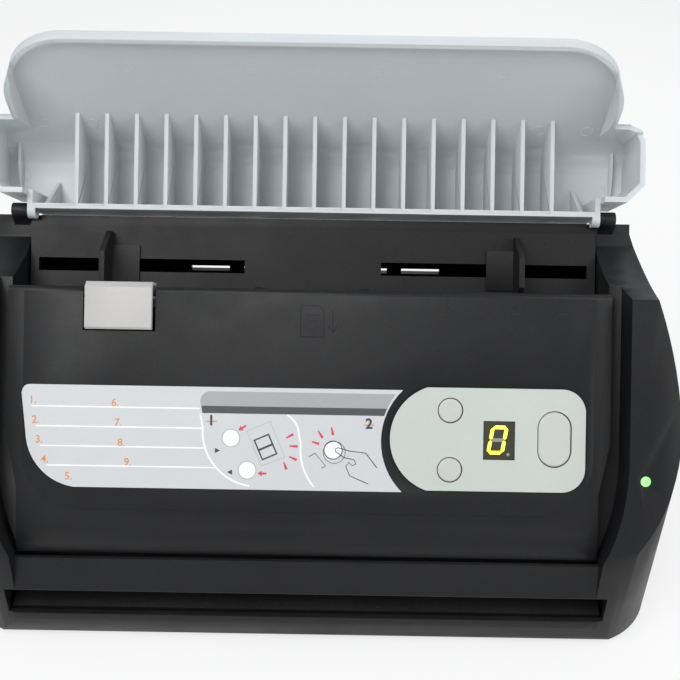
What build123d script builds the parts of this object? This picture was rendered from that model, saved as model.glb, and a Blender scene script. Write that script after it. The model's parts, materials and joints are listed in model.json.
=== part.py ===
"""Compact sheet-fed document scanner with a hinged front cover and a lid that opens into the sheet tray.

Sizes are in millimetres. X runs to the right, Y to the back and Z up, and Z = 0 is the desk. The origin is the
middle of the ground that the open scanner covers. Most shapes are drawn in the directions of the slope: s runs
down the slope from the lid's hinge, n stands square to the slope, and n = 0 is the plane that a sheet travels in.
"""

from build123d import *

import os
from math import acos, atan2, cos, degrees, hypot, pi, radians, sin, sqrt, tan

os.makedirs("parts", exist_ok=True)

# Stance of the whole scanner
slope_angle = 55
sheet_y = 34.2
sheet_z = 129.5
base_z = 3

# Main casing
wall = 2.4
body_half_width = 131
shoulder_width = 9.5
foot_tuck = 2
straight_side_z = 75
shoulder_z = 121
pod_height = 31.3
pod_lip_s = 33.5
rest_s = 3
bar_n = -5
bar_end_s = 9.8
dish_start_s = 11.5
dish_middle = (24, 10)
body_depth_behind = 24
toe_reach = 2
kick_z = 12
corner_radius = 30
corner_overrun = 0.05
groove_width = 5.2
groove_floor = 17.5
groove_bend_s = 90
groove_bend_reach = (2.3, 110)
groove_end_s = 127
outline_reach_s = 160
well_wall_n = -3.4
well_wall_start_s = 5
well_wall_end_s = 140
brow_z = 27
exit_bottom_z = 15.2
exit_top_z = 26.5
exit_depth = 24
path_roof_n = 1.2
light_from_side = 12.7
light_s = 97
light_radius = 1.75
light_flange = 2.75

# Front cover
pod_width = 23.6
cover_narrowing = 3.9
cover_side_gap = 0.8
cover_top_s = 31.5
cover_height = 25
cover_wall = 2.4
cover_bottom_n = 1.5
cover_narrow_start_s = 85
cover_narrow_end_s = 103
well_slide = 2.5
cover_end_angle = 60
seam_gap_angle = 2
cover_edge_round = 2
pad_rise = 0.4
pad_end_s = 110.7
pad_side = 5.9
pad_corner = 20
roll_s = 117
roll_n = 5
roll_gap = 1.1
bezel_lip = 1.3
hub_radius = 3.6
hub_pin_radius = 2
hub_pin_length = 4.8
plate_post_side = 12.4
plate_post_s = (58, 109)

# Controls on the cover
panel_recess = 1
panel_plate = 1.2
panel_gap = 0.15
panel_left_x = 28.9
panel_right_x = 98.4
panel_top_s = 65.4
panel_end_s = 102.2
panel_bulge = 13.2
panel_corner = 8.5
round_button_x = 50.3
up_button_s = 73.6
down_button_s = 94.6
round_button_radius = 4.25
scan_x = 87.3
scan_s = 83.3
scan_width = 11.6
scan_length = 19.5
button_gap = 0.3
button_top_n = 26.2
button_flange = 1.1
button_travel = 1
display_x = 67.7
display_s = 84
display_width = 11
display_length = 13.5
board_top_n = 15
board_thickness = 1.6
board_x = (24, 99)
board_s = (63, 106)
label_thickness = 0.3
label_top_s = 66.7
label_end_s = 102.9
label_right_x = 33.5
label_hollow_x = 25.9

# Release lever and latch
lever_x = (-79.7, -55.9)
lever_s = (29.8, 46.8)
lever_top_n = 27
lever_plate = 2.5
notch_x = (-80.6, -54.9)
notch_s = 47.3
latch_s = 36.5
latch_n = 16
latch_radius = 2
latch_rib = 3
hook_from_side = 5.1
hook_width = 2.3
stud_s = 34.5
stud_n = 4.5
stud_radius = 1.5

# Lid, drawn open
lid_hinge_s = 1.75
lid_hinge_n = -3
lid_wall = 2
lid_floor_n = -19.5
lid_bend = 60
lid_bend_radius = 12
lid_crest_s = -35.5
lid_reach = 39
lid_rim = 8.5
lid_lip = 2.2
lid_side_gap = 0.6
lid_hub_side = 3
lid_low_s = 1
lid_low_rim_n = -0.2
lid_corner_radius = 25
ear_width = 12
ear_rim_n = 6
ear_rim = 5.5
ear_low_s = -4
ear_notch_s = -33
ear_round = 6
ear_chamfer = 6.5
rib_pitch = 11.3
rib_pairs = 8
rib_width = 1.5
lug_radius = 3
lug_gap = 0.2
lug_length = 6
hinge_pin_radius = 1.5

# Sheet path
path_top_n = -1.5
path_plate = 2.2
chute_side_gap = 0.6
chute_start_s = 7.2
chute_step_s = 11
chute_step = 0.8
chute_end_s = 36
slot_s = 22
slot_width = 5
slot_inner_x = 26
slot_end_wall = 3.1
guide_start_s = 36.4
guide_end_s = 127
rail_depth = 2.5
ramp_middle = (-49.8, 18)
ramp_end = (-61.9, 15.7)
frame_sheet = 1.2
shaft_radius = 3
running_gap = 0.06
window_gap = 1
feed_s = 45.6
feed_radius = 11
feed_half_length = 14
transport_s = 66
exit_s = 100
drive_radius = 7
drive_top_n = -0.2
roller_x = 42
roller_length = 30
pinch_radius = 4.5
pinch_bottom_n = 0.3
pinch_shaft_radius = 1.5
pinch_half_length = 62
sensor_s = 82
sensor_width = 17
sensor_height = 10.4
sensor_side = 7.4
glass_n = 1.3
glass_thickness = 0.9

# Gears in the left pod
gear_module = 0.8
gear_clearance = 1.6
gear_width = 5
roller_teeth = 24
large_idler_teeth = 36
small_idler_teeth = 14
motor_teeth = 14
tooth_height = 0.8
tooth_depth = 1.1
pressure_angle = 20
backlash = 0.12
motor_radius = 17.5
motor_length = 22
motor_shaft_radius = 1.5

# Paper guides
fence_x = 76.2
fence_width = 2
fence_height = 13
rack_module = 1
guide_pinion_teeth = 14
rack_height = 2.4
rack_top_n = -4.4
rack_bar = 3
rack_ends = (-75, 40)

# Separation pad and hold-down fingers
sheet_pad_half_width = 13
sheet_pad_s = (38, 54)
sheet_pad_n = (0.2, 1.4)
pad_pin_s = 57
pad_pin_n = 6
pad_pin_radius = 1.25
finger_x = 20
finger_width = 3
finger_pin_s = 40
finger_pin_n = 11
finger_pin_radius = 1.25
finger_tip = (29.9, 1.3)

# Rear and base
rear_cover_gap = 0.3
rear_vent_rows = (66, 72, 78, 84, 90)
rear_post_z = (24, 88)
rear_screw_side = 11
main_board_x = (-80, 20)
main_board_z = (26, 78)
main_board_gap = 9.8
data_x = -60
power_x = -36
socket_z = 48
socket_height = 11
data_width = 12
power_width = 9
switch_x = 60
switch_z = 55
switch_half_width = 6
switch_half_height = 8.8
switch_tilt = 6
switch_pivot_depth = 4
switch_pin_radius = 1.2
base_setback = 7.5
foot_radius = 6
foot_side = 33
corner_inset = 14

# Screws
screw_radius = 1.5
screw_head_radius = 2.8
screw_head_height = 1.6
boss_radius = 4
boss_side = 17
boss_top_z = 20
screw_seat = 1.2

down_y = -cos(radians(slope_angle))
down_z = -sin(radians(slope_angle))
rise_y = -sin(radians(slope_angle))
rise_z = cos(radians(slope_angle))
hinge_y = sheet_y + roll_s * down_y + roll_n * rise_y
front_y = hinge_y - (pod_height - roll_n) - toe_reach
body_depth_before = sheet_y - front_y
rear_y = sheet_y + body_depth_behind
cover_base_n = cover_height - pad_rise
cover_skin_n = cover_base_n - cover_wall
roll_radius = cover_base_n - roll_n
pod_radius = pod_height - roll_n
seam_angle = cover_end_angle - seam_gap_angle
top_half_width = body_half_width - shoulder_width
cover_half_width = body_half_width - pod_width
cover_low_half_width = cover_half_width - cover_narrowing
pad_half_width = cover_half_width - pad_side
hook_x = (cover_half_width - hook_from_side, cover_half_width - hook_from_side + hook_width)
groove_half_width = cover_half_width + groove_width
lid_half_width = groove_half_width - lid_side_gap
lid_hub_x = lid_half_width - lid_hub_side
lug_end_x = lid_hub_x + lug_length
ear_half_width = lid_half_width + ear_width
light_x = body_half_width - light_from_side
boss_x = body_half_width - boss_side
foot_x = body_half_width - foot_side
rear_screw_x = body_half_width - rear_screw_side
frame_x = cover_half_width + cover_side_gap + wall
gear_x = -frame_x - frame_sheet - gear_clearance
sensor_half_length = cover_half_width - sensor_side
panel_floor_n = cover_height - panel_recess
drive_n = drive_top_n - drive_radius
feed_n = drive_top_n - feed_radius
pinch_n = pinch_bottom_n + pinch_radius
path_under_n = path_top_n - path_plate
well_half_width = cover_half_width + cover_side_gap
low_well_half_width = cover_low_half_width + cover_side_gap
chute_half_width = well_half_width - chute_side_gap
slot_outer_x = chute_half_width - slot_end_wall
corner_posts = [
    (x, y) for x in (-boss_x, boss_x) for y in (front_y + corner_inset, rear_y - corner_inset)
]
rear_posts = [(x, z) for x in (-rear_screw_x, rear_screw_x) for z in rear_post_z]


def spot(s, n):
    """Y and Z of the point s down the slope and n above the sheet plane."""
    return (sheet_y + s * down_y + n * rise_y, sheet_z + s * down_z + n * rise_z)


def height_at(s, y):
    """Z of the point at Y whose distance down the slope is s."""
    return sheet_z + (s - (y - sheet_y) * down_y) / down_z


def section(x=0):
    """Plane across X for profiles in s and n. Extruding goes towards the left."""
    return Plane(origin=(x, sheet_y, sheet_z), x_dir=(0, down_y, down_z), z_dir=(-1, 0, 0))


def layer(n):
    """Plane along the slope for outlines in X and s. Extruding goes down into the body."""
    return Plane(origin=(0, *spot(0, n)), x_dir=(1, 0, 0), z_dir=(0, -rise_y, -rise_z))


def on_roll(radius, angle):
    """Place in s and n at an angle round the cover's hinge, 90 being square to the slope."""
    return (roll_s + radius * cos(radians(angle)), roll_n + radius * sin(radians(angle)))


def both_sides(x_from, x_to):
    """The X ranges of a feature and of its mirror image."""
    return ((x_from, x_to), (-x_to, -x_from))


def rod(s, n, radius, x_from, x_to, mode=Mode.ADD):
    """Cylinder along X between two X positions."""
    with BuildSketch(section(x_to)) as disc:
        with Locations((s, n)):
            Circle(radius)
    extrude(disc.sketch, amount=x_to - x_from, mode=mode)


def bar(s_from, s_to, n_from, n_to, x_from, x_to, mode=Mode.ADD):
    """Block between two places in each direction of the slope."""
    with BuildSketch(section(x_to)) as face:
        with Locations(((s_from + s_to) / 2, (n_from + n_to) / 2)):
            Rectangle(s_to - s_from, n_to - n_from)
    extrude(face.sketch, amount=x_to - x_from, mode=mode)


def slab(points, x_from, x_to, mode=Mode.ADD):
    """Straight-sided profile in s and n between two X positions."""
    with BuildSketch(section(x_to)) as face:
        with BuildLine():
            Polyline(*points, close=True)
        make_face()
    extrude(face.sketch, amount=x_to - x_from, mode=mode)


def peg(x, s, radius, n_from, n_to, mode=Mode.ADD):
    """Cylinder square to the slope between two heights."""
    with BuildSketch(layer(n_to)) as disc:
        with Locations((x, s)):
            Circle(radius)
    extrude(disc.sketch, amount=n_to - n_from, mode=mode)


def pill(x, s, width, length, n_from, n_to, mode=Mode.ADD):
    """Round-ended button form, longer down the slope, between two heights."""
    with BuildSketch(layer(n_to)) as oval:
        with Locations((x, s)):
            SlotOverall(length, width, rotation=90)
    extrude(oval.sketch, amount=n_to - n_from, mode=mode)


def block(x_from, x_to, y_from, y_to, z_from, z_to, mode=Mode.ADD):
    """Upright block between two places in each direction of the desk."""
    with Locations(((x_from + x_to) / 2, (y_from + y_to) / 2, (z_from + z_to) / 2)):
        Box(x_to - x_from, y_to - y_from, z_to - z_from, mode=mode)


def pole(x, y, radius, z_from, z_to, mode=Mode.ADD):
    """Upright cylinder between two heights above the desk."""
    with Locations((x, y, (z_from + z_to) / 2)):
        Cylinder(radius, z_to - z_from, mode=mode)


def dowel(x, z, radius, y_from, y_to, mode=Mode.ADD):
    """Cylinder along Y between two places."""
    with BuildSketch(Plane.XZ.offset(-y_to)) as disc:
        with Locations((x, z)):
            Circle(radius)
    extrude(disc.sketch, amount=y_to - y_from, mode=mode)


# Outer form of the casing, shared by its skin, its hollow and the plates that close it


def casing_side(inset=0):
    """Side profile of the body, shrunk by the inset."""
    with BuildSketch(Plane.YZ) as profile:
        with BuildLine():
            dish = ThreePointArc(
                spot(dish_start_s, bar_n), spot(*dish_middle), spot(pod_lip_s, pod_height)
            )
            slope = Line(dish @ 1, spot(roll_s, pod_height))
            nose = ThreePointArc(
                slope @ 1,
                spot(*on_roll(pod_radius, (90 + slope_angle) / 2)),
                spot(*on_roll(pod_radius, slope_angle)),
            )
            Polyline(
                nose @ 1,
                (front_y, kick_z),
                (front_y + wall, base_z),
                (rear_y, base_z),
                (rear_y, height_at(rest_s, rear_y)),
                spot(rest_s, bar_n),
                dish @ 0,
            )
        make_face()
        if inset:
            offset(amount=-inset, kind=Kind.INTERSECTION)
    return profile.sketch


def casing_front(inset=0):
    """Front profile of the body with its rounded shoulders, shrunk by the inset."""
    with BuildSketch(Plane.XZ) as profile:
        with BuildLine():
            foot = Line((body_half_width - foot_tuck, -base_z), (body_half_width, kick_z))
            side = Line(foot @ 1, (body_half_width, straight_side_z))
            shoulder = TangentArc(side @ 1, (top_half_width, shoulder_z), tangent=(0, 1))
            top = Line(shoulder @ 1, (top_half_width, sheet_z + pod_height))
            Line(top @ 1, (0, sheet_z + pod_height))
            Line((0, -base_z), foot @ 0)
            mirror(about=Plane.YZ)
        make_face()
        if inset:
            offset(amount=-inset, kind=Kind.INTERSECTION)
    return profile.sketch


def casing_plan(inset=0):
    """Plan of the body with its rounded front corners, shrunk by the inset and run out behind the rear."""
    far_y = rear_y + 2 * wall
    half_width = body_half_width - inset + corner_overrun * inset
    with BuildSketch() as plan:
        with Locations((0, (front_y + inset + far_y) / 2)):
            Rectangle(2 * half_width, far_y - front_y - inset)
        fillet(plan.vertices().group_by(Axis.Y)[0], corner_radius - inset)
    return plan.sketch


def casing_form(inset=0, open_ended=False):
    """Solid form of the body, shrunk by the inset, and run out through the rear and the bottom when open-ended."""
    with BuildPart() as form:
        extrude(casing_side(inset), amount=body_half_width, both=True)
        if open_ended:
            inner_top_z = height_at(rest_s + inset, rear_y - inset)
            block(
                -body_half_width, body_half_width, rear_y - 2 * inset, rear_y + inset, base_z, inner_top_z
            )
            block(
                -body_half_width, body_half_width, front_y + 2 * wall, rear_y + inset,
                base_z - inset / 2, base_z + 2 * inset,
            )
        extrude(casing_front(inset), amount=body_depth_before, both=True, mode=Mode.INTERSECT)
        extrude(casing_plan(inset), amount=2 * body_depth_before, both=True, mode=Mode.INTERSECT)
    return form.part


def cover_outline(inset=0, slide=0):
    """Outline of the front cover, shrunk by the inset, with its narrowing moved down the slope by the slide."""
    wide = cover_half_width - inset
    narrow = cover_low_half_width - inset
    with BuildSketch(layer(pod_height + wall)) as outline:
        with BuildLine():
            Polyline(
                (0, 0),
                (wide, 0),
                (wide, cover_narrow_start_s + slide),
                (narrow, cover_narrow_end_s + slide),
                (narrow, outline_reach_s),
                (0, outline_reach_s),
            )
            mirror(about=Plane.YZ)
        make_face()
    return outline.sketch


def groove_outline():
    """Outline of the shallow groove between the pods that the shut lid's side walls drop into."""
    tip = (cover_low_half_width + cover_side_gap, groove_end_s)
    with BuildSketch(layer(pod_height + wall)) as outline:
        with BuildLine():
            side = Line((groove_half_width, 0), (groove_half_width, groove_bend_s))
            bend = ThreePointArc(
                side @ 1, (groove_half_width - groove_bend_reach[0], groove_bend_reach[1]), tip
            )
            Polyline(bend @ 1, (tip[0], outline_reach_s), (0, outline_reach_s))
            Line((0, 0), side @ 0)
            mirror(about=Plane.YZ)
        make_face()
    return outline.sketch


def above_seam():
    """Space in front of the cover's roll down to the seam with the bezel."""
    reach = 2 * pod_radius
    with BuildPart() as space:
        slab(
            (
                (bar_end_s, well_wall_n - wall),
                (bar_end_s, 2 * pod_height),
                on_roll(2 * reach, 90),
                on_roll(2 * reach, seam_angle),
                on_roll(0, 0),
                (roll_s, well_wall_n - wall),
            ),
            -body_half_width,
            body_half_width,
        )
    return space.part


def bezel_points():
    """Top and bottom of the sloped face under the cover, in Y and Z."""
    lip = spot(*on_roll(roll_radius + roll_gap + bezel_lip, seam_angle))
    return lip, (front_y + bezel_lip, brow_z)


def bezel_plane_profile(depth_from, depth_to):
    """Strip behind or before the sloped face under the cover, between two depths."""
    lip, brow = bezel_points()
    run = hypot(brow[0] - lip[0], brow[1] - lip[1])
    along = ((brow[0] - lip[0]) / run, (brow[1] - lip[1]) / run)
    inward = (-along[1], along[0])
    far = [(lip[0] - wall * along[0], lip[1] - wall * along[1]), brow]
    with BuildSketch(Plane.YZ) as strip:
        with BuildLine():
            Polyline(
                *[(y + depth_from * inward[0], z + depth_from * inward[1]) for y, z in far],
                *[(y + depth_to * inward[0], z + depth_to * inward[1]) for y, z in reversed(far)],
                close=True,
            )
        make_face()
    return strip.sketch


def groove_form(floor_n):
    """Space of the groove above a floor height."""
    with BuildPart() as space:
        extrude(groove_outline(), amount=pod_height + wall - floor_n)
    return space.part


def cover_form(inset, floor_n, slide=0):
    """Space over the cover's outline above a floor height."""
    with BuildPart() as space:
        extrude(cover_outline(inset, slide), amount=pod_height + wall - floor_n)
    return space.part


# Main casing

well_space = cover_form(-cover_side_gap, well_wall_n - wall, well_slide) & above_seam()
groove_space = groove_form(groove_floor) & above_seam()

with BuildPart() as bezel_recess:
    extrude(bezel_plane_profile(-pod_radius, 0), amount=low_well_half_width, both=True)

with BuildPart() as inner_walls:
    for low_x, high_x in both_sides(cover_low_half_width, frame_x):
        bar(well_wall_start_s, well_wall_end_s, well_wall_n, groove_floor, low_x, high_x)
    for low_x, high_x in both_sides(cover_low_half_width, groove_half_width + wall):
        bar(well_wall_start_s, well_wall_end_s, groove_floor - wall, pod_height, low_x, high_x)
    extrude(bezel_plane_profile(0, wall), amount=frame_x, both=True)
    for post_x, post_y in corner_posts:
        pole(post_x, post_y, boss_radius, base_z + wall, boss_top_z)
    for low_x, high_x in both_sides(boss_x, body_half_width):
        for post_y in (front_y + corner_inset, rear_y - corner_inset):
            block(low_x, high_x, post_y - wall / 2, post_y + wall / 2, base_z + 2 * wall, boss_top_z)
        for post_z in rear_post_z:
            block(
                low_x, high_x, rear_y - corner_inset, rear_y - wall,
                post_z - boss_radius, post_z + boss_radius,
            )
    add(casing_form(), mode=Mode.INTERSECT)

with BuildPart() as main_casing:
    add(casing_form())
    add(casing_form(wall, open_ended=True), mode=Mode.SUBTRACT)
    add(inner_walls.part)
    add(well_space, mode=Mode.SUBTRACT)
    add(groove_space, mode=Mode.SUBTRACT)
    add(bezel_recess.part, mode=Mode.SUBTRACT)
    bar(
        bar_end_s, well_wall_end_s, well_wall_n - 3 * wall, path_roof_n,
        -well_half_width, well_half_width, mode=Mode.SUBTRACT,
    )
    block(
        -well_half_width, well_half_width, front_y + wall, front_y + exit_depth,
        exit_bottom_z - wall, exit_top_z, mode=Mode.SUBTRACT,
    )
    block(
        -well_half_width, well_half_width, front_y - wall, front_y + 2 * wall,
        exit_bottom_z, exit_top_z, mode=Mode.SUBTRACT,
    )
    rod(
        roll_s, roll_n, roll_radius + roll_gap,
        -low_well_half_width, low_well_half_width, mode=Mode.SUBTRACT,
    )
    for low_x, high_x in both_sides(lid_hub_x + lug_gap, lug_end_x):
        rod(lid_hinge_s, lid_hinge_n, lug_radius, low_x, high_x)
        slab(
            (
                (rest_s, bar_n - 1),
                (rest_s + lug_radius + 1, bar_n - 1),
                (rest_s + lug_radius + 1, bar_n),
                (lid_hinge_s + lug_radius / 2, lid_hinge_n + lug_radius * sqrt(3) / 2),
                (lid_hinge_s, lid_hinge_n),
            ),
            low_x,
            high_x,
        )
        rod(
            lid_hinge_s, lid_hinge_n, hinge_pin_radius + running_gap,
            low_x - 1, high_x + 1, mode=Mode.SUBTRACT,
        )
    for low_x, high_x in both_sides(lid_hub_x - lug_radius - 1, lid_hub_x + lug_gap):
        rod(lid_hinge_s, lid_hinge_n, lug_radius + 0.6, low_x, high_x, mode=Mode.SUBTRACT)
    for low_x, high_x in both_sides(hook_x[0], well_half_width):
        rod(stud_s, stud_n, stud_radius, low_x, high_x)
    for low_x, high_x in both_sides(low_well_half_width - hub_pin_length, low_well_half_width):
        rod(roll_s, roll_n, hub_pin_radius, low_x, high_x)
    peg(light_x, light_s, light_radius + 0.1, pod_height - 2 * wall, pod_height + 1, mode=Mode.SUBTRACT)
    for post_x, post_y in corner_posts:
        pole(post_x, post_y, screw_radius, base_z, boss_top_z - wall, mode=Mode.SUBTRACT)
    for post_x, post_z in rear_posts:
        dowel(post_x, post_z, screw_radius, rear_y - corner_inset + wall, rear_y, mode=Mode.SUBTRACT)

# Base plate, its feet and its screws

with BuildPart() as base_plate:
    block(
        -body_half_width, body_half_width, front_y + base_setback, rear_y - wall - rear_cover_gap,
        base_z, base_z + wall,
    )
    add(casing_form(wall + rear_cover_gap, open_ended=True), mode=Mode.INTERSECT)
    for post_x, post_y in corner_posts:
        pole(post_x, post_y, screw_radius + 0.2, base_z, base_z + wall, mode=Mode.SUBTRACT)
        pole(post_x, post_y, screw_head_radius + 0.3, base_z, base_z + screw_seat, mode=Mode.SUBTRACT)

with BuildPart() as rubber_feet:
    for post_x in (-foot_x, foot_x):
        for post_y in (front_y + corner_inset, rear_y - corner_inset):
            pole(post_x, post_y, foot_radius, 0, base_z)

with BuildPart() as base_screws:
    for post_x, post_y in corner_posts:
        pole(post_x, post_y, screw_radius, base_z + screw_seat, boss_top_z - wall - 1)
        pole(post_x, post_y, screw_head_radius, base_z + screw_seat - screw_head_height, base_z + screw_seat)

# Rear cover with its vents and the rocker's hinge ears

pivot_y = rear_y - switch_pivot_depth
board_rear_y = rear_y - main_board_gap
board_posts = [
    (x, z)
    for x in (main_board_x[0] + 6, main_board_x[1] - 6)
    for z in (main_board_z[0] + 6, main_board_z[1] - 6)
]

with BuildPart() as rear_cover:
    rear_top_z = height_at(rest_s + wall, rear_y - wall) - rear_cover_gap
    block(-body_half_width, body_half_width, rear_y - wall, rear_y, base_z, rear_top_z)
    add(casing_form(wall + rear_cover_gap, open_ended=True), mode=Mode.INTERSECT)
    for row_z in rear_vent_rows:
        with Locations((0, rear_y, row_z)):
            with GridLocations(22, 1, 5, 1):
                Box(16, 3 * wall, 2.4, mode=Mode.SUBTRACT)
    for post_x, post_z in board_posts:
        dowel(post_x, post_z, screw_head_radius, board_rear_y, rear_y - wall)
    for low_x, high_x in (
        (data_x - data_width / 2 - 0.2, data_x + data_width / 2 + 0.2),
        (power_x - power_width / 2 - 0.2, power_x + power_width / 2 + 0.2),
    ):
        block(
            low_x, high_x, rear_y - 2 * wall, rear_y + 1,
            socket_z - socket_height / 2 - 0.2, socket_z + socket_height / 2 + 0.2, mode=Mode.SUBTRACT,
        )
    block(
        switch_x - switch_half_width - 0.3, switch_x + switch_half_width + 0.3, rear_y - 2 * wall, rear_y + 1,
        switch_z - switch_half_height - 1, switch_z + switch_half_height + 1, mode=Mode.SUBTRACT,
    )
    for side in (-1, 1):
        ear_x = sorted(switch_x + side * (switch_half_width + reach) for reach in (1, 3))
        block(*ear_x, pivot_y - 3, rear_y - wall, switch_z - 3, switch_z + 3)
        with Locations(Plane.YZ.offset(ear_x[0])):
            with Locations((pivot_y, switch_z, 1)):
                Cylinder(switch_pin_radius + running_gap, 4, mode=Mode.SUBTRACT)
    for post_x, post_z in rear_posts:
        dowel(post_x, post_z, screw_radius + 0.2, rear_y - wall, rear_y, mode=Mode.SUBTRACT)

with BuildPart() as rear_cover_screws:
    for post_x, post_z in rear_posts:
        dowel(post_x, post_z, screw_radius, rear_y - corner_inset + wall + 1, rear_y)
        dowel(post_x, post_z, screw_head_radius, rear_y, rear_y + screw_head_height)

# Rocker of the power switch, drawn tipped to off

with BuildPart() as power_switch:
    with BuildSketch(Plane.YZ.offset(switch_x)) as profile:
        with Locations(Location((pivot_y, switch_z), -switch_tilt)):
            with BuildLine(mode=Mode.PRIVATE) as edge:
                Polyline(
                    (switch_pivot_depth + 0.9, -switch_half_height),
                    (switch_pivot_depth - 0.4, 0),
                    (switch_pivot_depth + 0.9, switch_half_height),
                    (-0.5, switch_half_height),
                    (-3, 3),
                    (-3, -3),
                    (-0.5, -switch_half_height),
                    close=True,
                )
            add(make_face(edge.edges(), mode=Mode.PRIVATE))
    extrude(profile.sketch, amount=switch_half_width, both=True)
    with Locations(Plane.YZ.offset(switch_x)):
        with Locations((pivot_y, switch_z, 0)):
            Cylinder(switch_pin_radius, 2 * switch_half_width + 5.6)

# Main board and the sockets behind it

with BuildPart() as main_board:
    block(*main_board_x, board_rear_y - board_thickness, board_rear_y, *main_board_z)
    for chip_x, chip_z, chip_size in ((-40, 56, 14), (-8, 62, 10), (-4, 36, 8)):
        block(
            chip_x - chip_size / 2, chip_x + chip_size / 2,
            board_rear_y - board_thickness - 1.5, board_rear_y - board_thickness,
            chip_z - chip_size / 2, chip_z + chip_size / 2,
        )

with BuildPart() as data_socket:
    block(
        data_x - data_width / 2, data_x + data_width / 2, board_rear_y, rear_y - 0.2,
        socket_z - socket_height / 2, socket_z + socket_height / 2,
    )
    block(
        data_x - data_width / 2 + 1.5, data_x + data_width / 2 - 1.5, board_rear_y + 1.5, rear_y,
        socket_z - socket_height / 2 + 1.5, socket_z + socket_height / 2 - 1.5, mode=Mode.SUBTRACT,
    )
    block(data_x - 2.8, data_x + 2.8, board_rear_y + 1, rear_y - 1.5, socket_z - 1.6, socket_z + 1.6)

with BuildPart() as power_socket:
    block(
        power_x - power_width / 2, power_x + power_width / 2, board_rear_y, rear_y - 0.2,
        socket_z - socket_height / 2, socket_z + socket_height / 2,
    )
    dowel(power_x, socket_z, 3, board_rear_y + 1.5, rear_y, mode=Mode.SUBTRACT)
    dowel(power_x, socket_z, 1, board_rear_y + 1, rear_y - 1.5)

# Side plates that carry the shafts, the left one with the idlers' posts


def gear_distance(teeth, other_teeth):
    """Distance between the axes of two gears in mesh."""
    return gear_module * (teeth + other_teeth) / 2


large_idler_spot = (
    (transport_s + exit_s) / 2,
    drive_n - sqrt(gear_distance(roller_teeth, large_idler_teeth) ** 2 - ((exit_s - transport_s) / 2) ** 2),
)
motor_spot = (large_idler_spot[0], large_idler_spot[1] - gear_distance(large_idler_teeth, motor_teeth))
feed_span = hypot(transport_s - feed_s, drive_n - feed_n)
small_idler_drop = sqrt(gear_distance(roller_teeth, small_idler_teeth) ** 2 - (feed_span / 2) ** 2)
small_idler_spot = (
    (transport_s + feed_s) / 2 + small_idler_drop * (drive_n - feed_n) / feed_span,
    (drive_n + feed_n) / 2 - small_idler_drop * (transport_s - feed_s) / feed_span,
)
plate_top_n = 8
plate_points = ((36.5, plate_top_n), (110, plate_top_n), (113, drive_n - 7), (36.5, feed_n - 9))
shaft_spots = ((feed_s, feed_n), (transport_s, drive_n), (exit_s, drive_n))

with BuildPart() as side_plate_right:
    slab(plate_points, frame_x, frame_x + frame_sheet)
    for shaft_s, shaft_n in shaft_spots:
        rod(
            shaft_s, shaft_n, shaft_radius + running_gap,
            frame_x - 1, frame_x + frame_sheet + 1, mode=Mode.SUBTRACT,
        )

with BuildPart() as side_plate_left:
    slab(plate_points, -frame_x - frame_sheet, -frame_x)
    slab(
        (
            (40, feed_n - 5),
            (112, drive_n - 5),
            (motor_spot[0] + motor_radius + 2, motor_spot[1] + 2),
            (motor_spot[0] + 9, motor_spot[1] - motor_radius + 4),
            (motor_spot[0] - 9, motor_spot[1] - motor_radius + 4),
            (motor_spot[0] - motor_radius - 2, motor_spot[1] + 2),
        ),
        -frame_x - frame_sheet,
        -frame_x,
    )
    for shaft_s, shaft_n in shaft_spots:
        rod(
            shaft_s, shaft_n, shaft_radius + running_gap,
            -frame_x - frame_sheet - 1, 1 - frame_x, mode=Mode.SUBTRACT,
        )
    rod(*motor_spot, 4, -frame_x - frame_sheet - 1, 1 - frame_x, mode=Mode.SUBTRACT)
    for idler_spot in (large_idler_spot, small_idler_spot):
        rod(*idler_spot, motor_shaft_radius, gear_x - gear_width - 0.5, -frame_x)
        rod(*idler_spot, 2 * motor_shaft_radius, gear_x + 0.2, -frame_x)

with BuildPart() as drive_motor:
    rod(*motor_spot, motor_radius, -frame_x, motor_length - frame_x)
    rod(*motor_spot, motor_shaft_radius + running_gap, -frame_x, motor_length / 2 - frame_x, mode=Mode.SUBTRACT)

# Gears


def involute(angle):
    """Involute function of an angle in radians."""
    return tan(angle) - angle


def gear_points(teeth, module, phase):
    """Outline of a gear with one tooth pointing at the phase, in degrees."""
    pitch_radius = teeth * module / 2
    base_radius = pitch_radius * cos(radians(pressure_angle))
    half_tooth = pi / (2 * teeth) - backlash / (2 * pitch_radius)
    flank = []
    for radius in (
        pitch_radius - tooth_depth * module,
        pitch_radius - tooth_height * module / 2,
        pitch_radius,
        pitch_radius + tooth_height * module,
    ):
        roll = acos(min(1, base_radius / radius))
        flank.append((radius, half_tooth + involute(radians(pressure_angle)) - involute(roll)))
    points = []
    for tooth in range(teeth):
        middle = radians(phase) + 2 * pi * tooth / teeth
        for radius, half in flank:
            points.append((radius * cos(middle - half), radius * sin(middle - half)))
        for radius, half in reversed(flank):
            points.append((radius * cos(middle + half), radius * sin(middle + half)))
    return points


def mesh_phase(spot_from, teeth_from, phase_from, spot_to, teeth_to):
    """Phase in degrees that puts a gear in mesh with the one that drives it."""
    bearing = degrees(atan2(spot_to[1] - spot_from[1], spot_to[0] - spot_from[0]))
    return bearing + 180 - (phase_from - bearing) * teeth_from / teeth_to + 180 / teeth_to


def gear(place, teeth, phase, bore):
    """Spur gear in the left pod with a bore for its shaft."""
    with BuildPart() as wheel:
        slab(
            [(place[0] + s, place[1] + n) for s, n in gear_points(teeth, gear_module, phase)],
            gear_x - gear_width,
            gear_x,
        )
        if bore:
            rod(*place, bore, gear_x - gear_width, gear_x, mode=Mode.SUBTRACT)
    return wheel.part


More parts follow.
